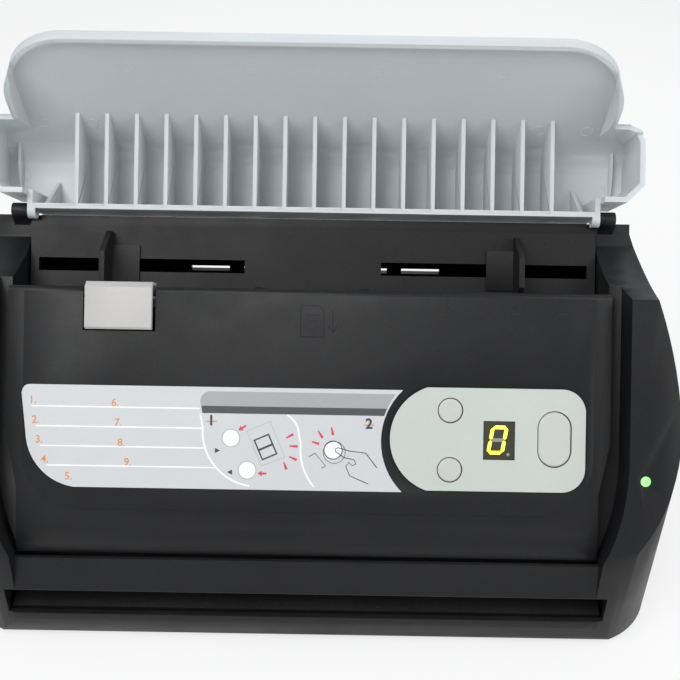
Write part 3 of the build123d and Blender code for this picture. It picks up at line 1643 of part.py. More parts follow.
pieces = {
    "main_casing": main_casing,
    "base_plate": base_plate,
    "rubber_feet": rubber_feet,
    "base_screws": base_screws,
    "rear_cover": rear_cover,
    "rear_cover_screws": rear_cover_screws,
    "power_switch": power_switch,
    "main_board": main_board,
    "data_socket": data_socket,
    "power_socket": power_socket,
    "side_plate_left": side_plate_left,
    "side_plate_right": side_plate_right,
    "drive_motor": drive_motor,
    "motor_pinion": motor_pinion,
    "idler_gear_large": idler_gear_large,
    "idler_gear_small": idler_gear_small,
    "transport_gear": transport_gear,
    "exit_gear": exit_gear,
    "feed_gear": feed_gear,
    "feed_shaft": feed_shaft,
    "feed_roller": feed_roller,
    "transport_shaft": transport_shaft,
    "transport_roller_left": transport_roller_left,
    "transport_roller_right": transport_roller_right,
    "exit_shaft": exit_shaft,
    "exit_roller_left": exit_roller_left,
    "exit_roller_right": exit_roller_right,
    "chute_plate": chute_plate,
    "lower_guide": lower_guide,
    "rear_sensor_bar": rear_sensor_bar,
    "rear_sensor_glass": rear_sensor_glass,
    "paper_guide_left": paper_guide_left,
    "paper_guide_right": paper_guide_right,
    "guide_pinion": guide_pinion,
    "lid_shell": lid_shell,
    "lid_hinge_pins": lid_hinge_pins,
    "front_cover_shell": front_cover_shell,
    "front_cover_inner": front_cover_inner,
    "front_sensor_bar": front_sensor_bar,
    "front_sensor_glass": front_sensor_glass,
    "transport_pinch": transport_pinch,
    "exit_pinch": exit_pinch,
    "separation_pad": separation_pad,
    "separation_pad_holder": separation_pad_holder,
    "separation_pad_pin": separation_pad_pin,
    "hold_down_finger_left": hold_down_finger_left,
    "hold_down_finger_right": hold_down_finger_right,
    "hold_down_pin": hold_down_pin,
    "control_board": control_board,
    "display_module": display_module,
    "control_panel": control_panel,
    "up_button": up_button,
    "down_button": down_button,
    "scan_button": scan_button,
    "function_label": function_label,
    "release_lever": release_lever,
    "latch_bar": latch_bar,
    "power_light_lens": power_light_lens,
}

for piece_name, piece in pieces.items():
    piece.part.label = piece_name
    export_step(piece.part, f"parts/{piece_name}.step")
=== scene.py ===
"""Finishes, printed marks, lights and camera for a compact sheet-fed document scanner.

Lengths are in metres. Many places are given on the slope of the body: x runs to the right, s down the slope from
the lid's hinge and n square to it, with n = 0 in the plane that a sheet travels in.
"""

import json
import logging
from dataclasses import dataclass, field
from enum import Enum
from math import cos, hypot, pi, radians, sin, tan

import bmesh
import bpy
from mathutils import Matrix, Vector

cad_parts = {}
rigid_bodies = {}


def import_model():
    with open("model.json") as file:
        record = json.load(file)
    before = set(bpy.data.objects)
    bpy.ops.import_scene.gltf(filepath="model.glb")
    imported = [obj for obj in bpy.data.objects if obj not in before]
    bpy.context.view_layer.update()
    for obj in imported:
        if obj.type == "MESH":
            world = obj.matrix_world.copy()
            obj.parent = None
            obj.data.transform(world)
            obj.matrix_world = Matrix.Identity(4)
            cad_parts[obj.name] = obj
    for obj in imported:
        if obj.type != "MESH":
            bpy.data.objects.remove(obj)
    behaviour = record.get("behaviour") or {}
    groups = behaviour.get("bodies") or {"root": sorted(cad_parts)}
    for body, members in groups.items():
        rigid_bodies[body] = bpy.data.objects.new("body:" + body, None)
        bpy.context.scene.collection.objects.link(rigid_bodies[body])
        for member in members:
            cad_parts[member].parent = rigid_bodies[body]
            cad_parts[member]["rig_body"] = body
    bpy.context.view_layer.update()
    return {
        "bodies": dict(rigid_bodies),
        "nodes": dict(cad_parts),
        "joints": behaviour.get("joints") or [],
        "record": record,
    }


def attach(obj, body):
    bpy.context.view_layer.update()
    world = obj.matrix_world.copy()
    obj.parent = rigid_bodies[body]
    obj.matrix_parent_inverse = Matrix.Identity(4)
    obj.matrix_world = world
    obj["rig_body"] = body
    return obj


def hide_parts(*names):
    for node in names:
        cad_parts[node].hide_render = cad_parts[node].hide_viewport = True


log = logging.getLogger("scanner")

MM = 0.001
Point = tuple[float, float]


class Body(Enum):
    """Moving bodies of the scanner that new pieces ride on."""

    CASING = "casing"
    LID = "lid"
    COVER = "cover"


class Slot(Enum):
    """Material slots of the record."""

    BLACK_SHELL = "black_shell"
    LID_GREY = "lid_grey"
    LEVER_GREY = "lever_grey"
    PANEL_GREY = "panel_grey"
    BUTTON_GREY = "button_grey"
    LABEL_PRINT = "label_print"
    DISPLAY_DARK = "display_dark"
    LIGHT_GREEN = "light_green"
    INNER_BLACK = "inner_black"
    RUBBER_DARK = "rubber_dark"
    ROLLER_RUBBER = "roller_rubber"
    PAD_RUBBER = "pad_rubber"
    STEEL = "steel"
    PLATE_STEEL = "plate_steel"
    MOTOR_METAL = "motor_metal"
    GEAR_WHITE = "gear_white"
    BOARD_GREEN = "board_green"
    SENSOR_BLACK = "sensor_black"
    SENSOR_GLASS = "sensor_glass"
    SOCKET_METAL = "socket_metal"
    SOCKET_BLACK = "socket_black"


@dataclass(frozen=True)
class Slope:
    """The tilted directions that the body, cover and lid are drawn in."""

    angle: float = radians(55)
    sheet_y: float = 34.2 * MM
    sheet_z: float = 129.5 * MM

    def frame(self, n: float) -> Matrix:
        """Finds the directions of the slope at a height.

        Args:
            n: Height above the sheet plane, in millimetres.

        Returns:
            A matrix whose X runs right, Y up the slope and Z out of it.
        """
        turn = Matrix.Rotation(self.angle, 4, "X")
        return Matrix.Translation((0, self.sheet_y, self.sheet_z)) @ turn @ Matrix.Translation((0, 0, n * MM))


SLOPE = Slope()


# Shader groups


def socket_group(name: str, inputs: list[tuple[str, str, float]], outputs: list[str]) -> bpy.types.NodeTree:
    """Makes an empty shader group with named sockets.

    Args:
        name: Name of the group.
        inputs: Name, socket type and default of each input.
        outputs: Names of the value outputs.

    Returns:
        The new node tree, with its input and output nodes placed.
    """
    tree = bpy.data.node_groups.new(name, "ShaderNodeTree")
    for label, kind, default in inputs:
        socket = tree.interface.new_socket(name=label, in_out="INPUT", socket_type=kind)
        if kind == "NodeSocketFloat":
            socket.default_value = default
    for label in outputs:
        tree.interface.new_socket(name=label, in_out="OUTPUT", socket_type="NodeSocketFloat")
    tree.nodes.new("NodeGroupInput").name = "In"
    tree.nodes.new("NodeGroupOutput").name = "Out"
    return tree


def value_node(tree: bpy.types.NodeTree, operation: str, first: object, second: object) -> bpy.types.NodeSocket:
    """Adds a maths node.

    Args:
        tree: Tree to add to.
        operation: Maths operation.
        first: Socket or number for the first input.
        second: Socket or number for the second input.

    Returns:
        The node's output socket.
    """
    node = tree.nodes.new("ShaderNodeMath")
    node.operation = operation
    for index, item in enumerate((first, second)):
        if isinstance(item, bpy.types.NodeSocket):
            tree.links.new(item, node.inputs[index])
        else:
            node.inputs[index].default_value = float(item)
    return node.outputs[0]


def noise_node(tree: bpy.types.NodeTree, vector: object, scale: object, detail: float) -> bpy.types.NodeSocket:
    """Adds a noise texture.

    Args:
        tree: Tree to add to.
        vector: Socket with the place on the piece.
        scale: Socket or number for the cells in a metre.
        detail: Detail of the noise.

    Returns:
        The node's value output.
    """
    node = tree.nodes.new("ShaderNodeTexNoise")
    tree.links.new(vector, node.inputs["Vector"])
    if isinstance(scale, bpy.types.NodeSocket):
        tree.links.new(scale, node.inputs["Scale"])
    else:
        node.inputs["Scale"].default_value = float(scale)
    node.inputs["Detail"].default_value = detail
    node.inputs["Roughness"].default_value = 0.6
    return node.outputs["Fac"]


def moulded_grain_group() -> bpy.types.NodeTree:
    """Builds the fine spark-eroded grain of moulded plastic.

    Returns:
        A group that puts out the grain's height and a slow drift of tone.
    """
    tree = socket_group(
        "Moulded grain",
        [("Vector", "NodeSocketVector", 0), ("Scale", "NodeSocketFloat", 2500)],
        ["Height", "Tone"],
    )
    start, end = tree.nodes["In"], tree.nodes["Out"]
    fine = noise_node(tree, start.outputs["Vector"], start.outputs["Scale"], 3)
    pits = tree.nodes.new("ShaderNodeTexVoronoi")
    pits.feature = "SMOOTH_F1"
    tree.links.new(start.outputs["Vector"], pits.inputs["Vector"])
    tree.links.new(value_node(tree, "MULTIPLY", start.outputs["Scale"], 0.6), pits.inputs["Scale"])
    height = value_node(tree, "ADD", fine, value_node(tree, "MULTIPLY", pits.outputs["Distance"], 0.5))
    tree.links.new(height, end.inputs["Height"])
    drift = noise_node(tree, start.outputs["Vector"], 22, 4)
    speck = noise_node(tree, start.outputs["Vector"], 900, 2)
    tone = value_node(tree, "ADD", value_node(tree, "MULTIPLY", drift, 0.6), value_node(tree, "MULTIPLY", speck, 0.4))
    tree.links.new(tone, end.inputs["Tone"])
    return tree


def handling_group() -> bpy.types.NodeTree:
    """Builds the smudges and settled dust of an object in daily use.

    Returns:
        A group that puts out a smudge mask and a dust mask.
    """
    tree = socket_group(
        "Handling",
        [("Vector", "NodeSocketVector", 0), ("Dust", "NodeSocketFloat", 0.1)],
        ["Smudge", "Dust"],
    )
    start, end = tree.nodes["In"], tree.nodes["Out"]
    smear = noise_node(tree, start.outputs["Vector"], 60, 3)
    tree.links.new(smear, end.inputs["Smudge"])
    facing = tree.nodes.new("ShaderNodeNewGeometry")
    parts = tree.nodes.new("ShaderNodeSeparateXYZ")
    tree.links.new(facing.outputs["Normal"], parts.inputs["Vector"])
    upward = value_node(tree, "MAXIMUM", parts.outputs["Z"], 0)
    motes = value_node(tree, "GREATER_THAN", noise_node(tree, start.outputs["Vector"], 1400, 1), 0.66)
    film = value_node(tree, "MULTIPLY", noise_node(tree, start.outputs["Vector"], 35, 5), 0.5)
    amount = value_node(tree, "MULTIPLY", value_node(tree, "ADD", film, motes), start.outputs["Dust"])
    tree.links.new(value_node(tree, "MULTIPLY", amount, upward), end.inputs["Dust"])
    return tree


def brushed_group() -> bpy.types.NodeTree:
    """Builds the long drawn lines of rolled and turned metal.

    Returns:
        A group that puts out the lines' height and their tone.
    """
    tree = socket_group("Brushed lines", [("Vector", "NodeSocketVector", 0)], ["Height", "Tone"])
    start, end = tree.nodes["In"], tree.nodes["Out"]
    stretch = tree.nodes.new("ShaderNodeMapping")
    stretch.inputs["Scale"].default_value = (60, 2400, 2400)
    tree.links.new(start.outputs["Vector"], stretch.inputs["Vector"])
    lines = noise_node(tree, stretch.outputs["Vector"], 1, 2)
    tree.links.new(lines, end.inputs["Height"])
    patches = noise_node(tree, start.outputs["Vector"], 70, 3)
    half_lines = value_node(tree, "MULTIPLY", lines, 0.5)
    half_patches = value_node(tree, "MULTIPLY", patches, 0.5)
    tone = value_node(tree, "ADD", half_lines, half_patches)
    tree.links.new(tone, end.inputs["Tone"])
    return tree


class SharedGroups:
    """The shader groups that several finishes use, built once."""

    def __init__(self) -> None:
        """Builds the groups."""
        self.grain = moulded_grain_group()
        self.handling = handling_group()
        self.brushed = brushed_group()


# Finishes

Colour = tuple[float, float, float]


def tinted(colour: Colour, factor: float) -> tuple[float, float, float, float]:
    """Scales a colour.

    Args:
        colour: Red, green and blue.
        factor: Multiplier.

    Returns:
        The scaled colour with an alpha of one.
    """
    return (*(min(1.0, channel * factor) for channel in colour), 1.0)


class MaterialMaker:
    """A material in the making, with its Principled shader and the place on the piece."""

    def __init__(self, name: str) -> None:
        """Starts the material.

        Args:
            name: Name of the material.
        """
        self.material = bpy.data.materials.new(name)
        self.material.use_nodes = True
        self.tree = self.material.node_tree
        self.shader = self.tree.nodes["Principled BSDF"]
        self.vector = self.tree.nodes.new("ShaderNodeTexCoord").outputs["Object"]

    def group(self, group: bpy.types.NodeTree, **values: float) -> bpy.types.Node:
        """Places a shared group and feeds it the place on the piece.

        Args:
            group: The shared group.
            **values: Input values by socket name.

        Returns:
            The group node.
        """
        node = self.tree.nodes.new("ShaderNodeGroup")
        node.node_tree = group
        self.tree.links.new(self.vector, node.inputs["Vector"])
        for label, value in values.items():
            node.inputs[label].default_value = value
        return node

    def blend(self, mask: bpy.types.NodeSocket, first: object, second: object) -> bpy.types.NodeSocket:
        """Mixes two colours by a mask.

        Args:
            mask: Value socket.
            first: Colour or socket shown where the mask is 0.
            second: Colour or socket shown where the mask is 1.

        Returns:
            The mixed colour's socket.
        """
        node = self.tree.nodes.new("ShaderNodeMix")
        node.data_type = "RGBA"
        self.tree.links.new(mask, node.inputs[0])
        for index, item in ((6, first), (7, second)):
            if isinstance(item, bpy.types.NodeSocket):
                self.tree.links.new(item, node.inputs[index])
            else:
                node.inputs[index].default_value = item
        return node.outputs[2]

    def ranged(self, value: bpy.types.NodeSocket, low: float, high: float) -> bpy.types.NodeSocket:
        """Maps the middle of a noise to a range.

        Args:
            value: Noise value.
            low: Result where the noise is low.
            high: Result where it is high.

        Returns:
            The mapped value's socket.
        """
        node = self.tree.nodes.new("ShaderNodeMapRange")
        node.inputs["From Min"].default_value = 0.3
        node.inputs["From Max"].default_value = 0.7
        node.inputs["To Min"].default_value = low
        node.inputs["To Max"].default_value = high
        self.tree.links.new(value, node.inputs["Value"])
        return node.outputs["Result"]

    def bump(self, height: bpy.types.NodeSocket, distance: float, strength: float) -> None:
        """Feeds a bump from a height.

        Args:
            height: Height socket.
            distance: Depth in metres.
            strength: Strength of the bump.
        """
        node = self.tree.nodes.new("ShaderNodeBump")
        node.inputs["Distance"].default_value = distance
        node.inputs["Strength"].default_value = strength
        self.tree.links.new(height, node.inputs["Height"])
        self.tree.links.new(node.outputs["Normal"], self.shader.inputs["Normal"])

    def feed(self, socket: str, source: bpy.types.NodeSocket) -> None:
        """Links a source to a socket of the shader."""
        self.tree.links.new(source, self.shader.inputs[socket])


@dataclass(frozen=True)
class Plastic:
    """Moulded plastic with grain, slow tone drift, smudges and settled dust."""

    name: str
    colour: Colour
    roughness: float = 0.45
    grain: float = 2500
    depth: float = 0.00006
    drift: float = 0.06
    dust: float = 0.1
    coat: float = 0.0
    translucent: float = 0.0
    shine: float = 0.5

    def build(self, groups: SharedGroups) -> bpy.types.Material:
        """Builds the material.

        Args:
            groups: The shared shader groups.

        Returns:
            The material.
        """
        maker = MaterialMaker(self.name)
        grain = maker.group(groups.grain, Scale=self.grain)
        handling = maker.group(groups.handling, Dust=self.dust)
        tone = maker.ranged(grain.outputs["Tone"], 0, 1)
        body = maker.blend(tone, tinted(self.colour, 1 - self.drift), tinted(self.colour, 1 + self.drift))
        maker.feed("Base Color", maker.blend(handling.outputs["Dust"], body, (0.62, 0.6, 0.57, 1)))
        smudge = handling.outputs["Smudge"]
        maker.feed("Roughness", maker.ranged(smudge, self.roughness - 0.05, self.roughness + 0.07))
        maker.shader.inputs["Specular IOR Level"].default_value = self.shine
        maker.shader.inputs["Coat Weight"].default_value = self.coat
        maker.shader.inputs["Coat Roughness"].default_value = 0.12
        maker.shader.inputs["Subsurface Weight"].default_value = self.translucent
        maker.shader.inputs["Subsurface Scale"].default_value = 0.001
        maker.bump(grain.outputs["Height"], self.depth, 0.35)
        return maker.material


@dataclass(frozen=True)
class Metal:
    """Rolled, plated or turned metal."""

    name: str
    colour: Colour
    roughness: float = 0.3
    depth: float = 0.00002

    def build(self, groups: SharedGroups) -> bpy.types.Material:
        """Builds the material.

        Args:
            groups: The shared shader groups.

        Returns:
            The material.
        """
        maker = MaterialMaker(self.name)
        lines = maker.group(groups.brushed)
        tone = maker.ranged(lines.outputs["Tone"], 0, 1)
        maker.feed("Base Color", maker.blend(tone, tinted(self.colour, 0.85), tinted(self.colour, 1.1)))
        maker.feed("Roughness", maker.ranged(lines.outputs["Tone"], self.roughness - 0.06, self.roughness + 0.1))
        maker.shader.inputs["Metallic"].default_value = 1.0
        maker.bump(lines.outputs["Height"], self.depth, 0.3)
        return maker.material


@dataclass(frozen=True)
class Rubber:
    """Matt rubber, dusty in its pores."""

    name: str
    colour: Colour
    roughness: float = 0.85
    pores: float = 1200

    def build(self, groups: SharedGroups) -> bpy.types.Material:
        """Builds the material.

        Args:
            groups: The shared shader groups.

        Returns:
            The material.
        """
        maker = MaterialMaker(self.name)
        grain = maker.group(groups.grain, Scale=self.pores)
        handling = maker.group(groups.handling, Dust=0.25)
        tone = maker.ranged(grain.outputs["Tone"], 0, 1)
        body = maker.blend(tone, tinted(self.colour, 0.85), tinted(self.colour, 1.15))
        maker.feed("Base Color", maker.blend(handling.outputs["Dust"], body, (0.4, 0.4, 0.39, 1)))
        maker.feed("Roughness", maker.ranged(handling.outputs["Smudge"], self.roughness - 0.1, self.roughness + 0.1))
        maker.bump(grain.outputs["Height"], 0.00012, 0.5)
        return maker.material


@dataclass(frozen=True)
class ClearGlass:
    """Thin clear glass with a few finger smears."""

    name: str
    colour: Colour
    roughness: float = 0.03

    def build(self, groups: SharedGroups) -> bpy.types.Material:
        """Builds the material.

        Args:
            groups: The shared shader groups.

        Returns:
            The material.
        """
        maker = MaterialMaker(self.name)
        handling = maker.group(groups.handling, Dust=0.05)
        tone = maker.ranged(handling.outputs["Smudge"], 0, 1)
        maker.feed("Base Color", maker.blend(tone, tinted(self.colour, 0.96), tinted(self.colour, 1.0)))
        maker.feed("Roughness", maker.ranged(handling.outputs["Smudge"], self.roughness, self.roughness + 0.08))
        maker.shader.inputs["Transmission Weight"].default_value = 0.85
        maker.shader.inputs["IOR"].default_value = 1.5
        return maker.material


@dataclass(frozen=True)
class Lit:
    """A lit lens or display segment."""

    name: str
    colour: Colour
    strength: float
    roughness: float = 0.25

    def build(self, groups: SharedGroups) -> bpy.types.Material:
        """Builds the material.

        Args:
            groups: The shared shader groups.

        Returns:
            The material.
        """
        maker = MaterialMaker(self.name)
        handling = maker.group(groups.handling, Dust=0.0)
        tone = maker.ranged(handling.outputs["Smudge"], 0, 1)
        glow = maker.blend(tone, tinted(self.colour, 0.9), tinted(self.colour, 1.0))
        maker.feed("Base Color", glow)
        maker.feed("Emission Color", glow)
        maker.feed("Roughness", maker.ranged(handling.outputs["Smudge"], self.roughness, self.roughness + 0.1))
        maker.shader.inputs["Emission Strength"].default_value = self.strength
        return maker.material


@dataclass(frozen=True)
class CircuitBoard:
    """Lacquered board with buried copper tracks."""

    name: str
    colour: Colour
    roughness: float = 0.35

    def build(self, groups: SharedGroups) -> bpy.types.Material:
        """Builds the material.

        Args:
            groups: The shared shader groups.

        Returns:
            The material.
        """
        maker = MaterialMaker(self.name)
        tracks = maker.tree.nodes.new("ShaderNodeTexVoronoi")
        tracks.distance = "MANHATTAN"
        tracks.feature = "DISTANCE_TO_EDGE"
        tracks.inputs["Scale"].default_value = 260
        maker.tree.links.new(maker.vector, tracks.inputs["Vector"])
        mask = value_node(maker.tree, "LESS_THAN", tracks.outputs["Distance"], 0.08)
        handling = maker.group(groups.handling, Dust=0.2)
        lacquer = maker.blend(mask, tinted(self.colour, 1.0), tinted(self.colour, 1.7))
        maker.feed("Base Color", maker.blend(handling.outputs["Dust"], lacquer, (0.5, 0.5, 0.48, 1)))
        maker.feed("Roughness", maker.ranged(handling.outputs["Smudge"], self.roughness, self.roughness + 0.15))
        maker.bump(mask, 0.00003, 0.6)
        return maker.material


Finish = Plastic | Metal | Rubber | ClearGlass | Lit | CircuitBoard

SLOT_FINISHES: dict[Slot, Finish] = {
    Slot.BLACK_SHELL: Plastic(
        "Black casing plastic", (0.0085, 0.0088, 0.0098), 0.44, 1500, 0.00008, 0.2, 0.012, shine=0.3
    ),
    Slot.LID_GREY: Plastic("Pale lid plastic", (0.6, 0.635, 0.65), 0.42, 2600, 0.00003, 0.03, 0.05, shine=0.4),
    Slot.LEVER_GREY: Plastic("Lever plastic", (0.5, 0.49, 0.48), 0.4, 2200, 0.00004, 0.04, 0.05),
    Slot.PANEL_GREY: Plastic("Panel satin lacquer", (0.55, 0.59, 0.555), 0.36, 2800, 0.00002, 0.03, 0.03, 0.15),
    Slot.BUTTON_GREY: Plastic("Button plastic", (0.56, 0.57, 0.55), 0.38, 2600, 0.00002, 0.03, 0.02, 0.1),
    Slot.LABEL_PRINT: Plastic("Label edge white", (0.86, 0.86, 0.88), 0.4, 1500, 0.00001, 0.02, 0.02, 0.2),
    Slot.DISPLAY_DARK: Plastic("Display window", (0.04, 0.042, 0.022), 0.16, 3000, 0.00001, 0.1, 0.02, 0.6),
    Slot.LIGHT_GREEN: Lit("Power light lens", (0.25, 0.95, 0.2), 1.3),
    Slot.INNER_BLACK: Plastic(
        "Inner black plastic", (0.0095, 0.0095, 0.0105), 0.5, 1800, 0.00006, 0.18, 0.02, shine=0.3
    ),
    Slot.RUBBER_DARK: Rubber("Foot rubber", (0.02, 0.02, 0.021)),
    Slot.ROLLER_RUBBER: Rubber("Roller rubber", (0.13, 0.13, 0.14), 0.75, 1600),
    Slot.PAD_RUBBER: Rubber("Separation rubber", (0.36, 0.2, 0.11), 0.8, 1400),
    Slot.STEEL: Metal("Ground steel", (0.4, 0.4, 0.42), 0.36),
    Slot.PLATE_STEEL: Metal("Plated sheet steel", (0.58, 0.59, 0.6), 0.34),
    Slot.MOTOR_METAL: Metal("Motor can steel", (0.44, 0.45, 0.47), 0.38),
    Slot.GEAR_WHITE: Plastic("Gear plastic", (0.78, 0.76, 0.68), 0.45, 2000, 0.00003, 0.04, 0.06, 0.0, 0.15),
    Slot.BOARD_GREEN: CircuitBoard("Board lacquer", (0.02, 0.16, 0.07)),
    Slot.SENSOR_BLACK: Plastic("Sensor housing", (0.02, 0.02, 0.022), 0.5, 1500, 0.00006, 0.12, 0.04, shine=0.3),
    Slot.SENSOR_GLASS: ClearGlass("Sensor glass", (0.85, 0.95, 0.94)),
    Slot.SOCKET_METAL: Metal("Socket shell", (0.66, 0.66, 0.67), 0.24),
    Slot.SOCKET_BLACK: Plastic("Socket plastic", (0.012, 0.012, 0.012), 0.4, 1800, 0.00004, 0.12, 0.03, shine=0.35),
}


class Ink(Enum):
    """Inks of the label, the panel and the moulded marks."""

    WHITE = Plastic("White ink", (0.9, 0.91, 0.93), 0.42, 1500, 0.00001, 0.02, 0.0)
    FIELD = Plastic("Label field grey", (0.6, 0.615, 0.625), 0.42, 1500, 0.00001, 0.025, 0.02, 0.15)
    BAND = Plastic("Label band grey", (0.36, 0.385, 0.385), 0.42, 1500, 0.00001, 0.03, 0.02, 0.15)
    STRIPE = Plastic("Label stripe grey", (0.07, 0.07, 0.078), 0.42, 1500, 0.00001, 0.05, 0.02, 0.15)
    ORANGE = Plastic("Orange ink", (0.72, 0.27, 0.08), 0.45, 1500, 0.00001, 0.05, 0.0)
    RED = Plastic("Red ink", (0.66, 0.06, 0.1), 0.45, 1500, 0.00001, 0.05, 0.0)
    BLACK = Plastic("Black ink", (0.045, 0.045, 0.05), 0.45, 1500, 0.00001, 0.08, 0.0)
    LEGEND = Plastic("Panel legend grey", (0.16, 0.19, 0.2), 0.45, 1500, 0.00001, 0.05, 0.0)
    # Lighter black than the shell: painted sheen standing in for the highlights on the raised marks; the low
    # roughness is real.
    MOULDED_SHEEN = Plastic("Mould mark with painted sheen", (0.016, 0.016, 0.018), 0.22, 1800, 0.00002, 0.1, 0.0)
    SEGMENT_LIT = Lit("Lit segment", (1.0, 0.93, 0.06), 1.6)
    SEGMENT_DARK = Plastic("Unlit segment", (0.3, 0.3, 0.26), 0.4, 1500, 0.00001, 0.05, 0.0)


class Palette:
    """All materials, each built when it is first asked for."""

    def __init__(self) -> None:
        """Builds the shared groups and starts with no material."""
        self.groups = SharedGroups()
        self.made: dict[str, bpy.types.Material] = {}

    def material(self, finish: Finish) -> bpy.types.Material:
        """Gives the material of a finish.

        Args:
            finish: The finish.

        Returns:
            Its material.
        """
        if finish.name not in self.made:
            self.made[finish.name] = finish.build(self.groups)
        return self.made[finish.name]


# Shapes


def arc(first: Point, middle: Point, last: Point, steps: int = 16) -> list[Point]:
    """Finds points on the circle through three points.

    Args:
        first: Where the arc starts.
        middle: A point on it.
        last: Where it ends.
        steps: Number of chords.

    Returns:
        The points from first to last.
    """
    (ax, ay), (bx, by), (cx, cy) = first, middle, last
    twice = 2 * (ax * (by - cy) + bx * (cy - ay) + cx * (ay - by))
    squares = [x * x + y * y for x, y in (first, middle, last)]
    ux = (squares[0] * (by - cy) + squares[1] * (cy - ay) + squares[2] * (ay - by)) / twice
    uy = (squares[0] * (cx - bx) + squares[1] * (ax - cx) + squares[2] * (bx - ax)) / twice
    start = Vector((ax - ux, ay - uy))
    end = Vector((cx - ux, cy - uy))
    sweep = start.angle_signed(end) * -1
    through = start.angle_signed(Vector((bx - ux, by - uy))) * -1
    if abs(through) > abs(sweep) or through * sweep < 0:
        sweep -= 2 * pi * (1 if sweep > 0 else -1)
    points = []
    for step in range(steps + 1):
        turn = sweep * step / steps
        points.append(
            (ux + start.x * cos(turn) - start.y * sin(turn), uy + start.x * sin(turn) + start.y * cos(turn))
        )
    return points


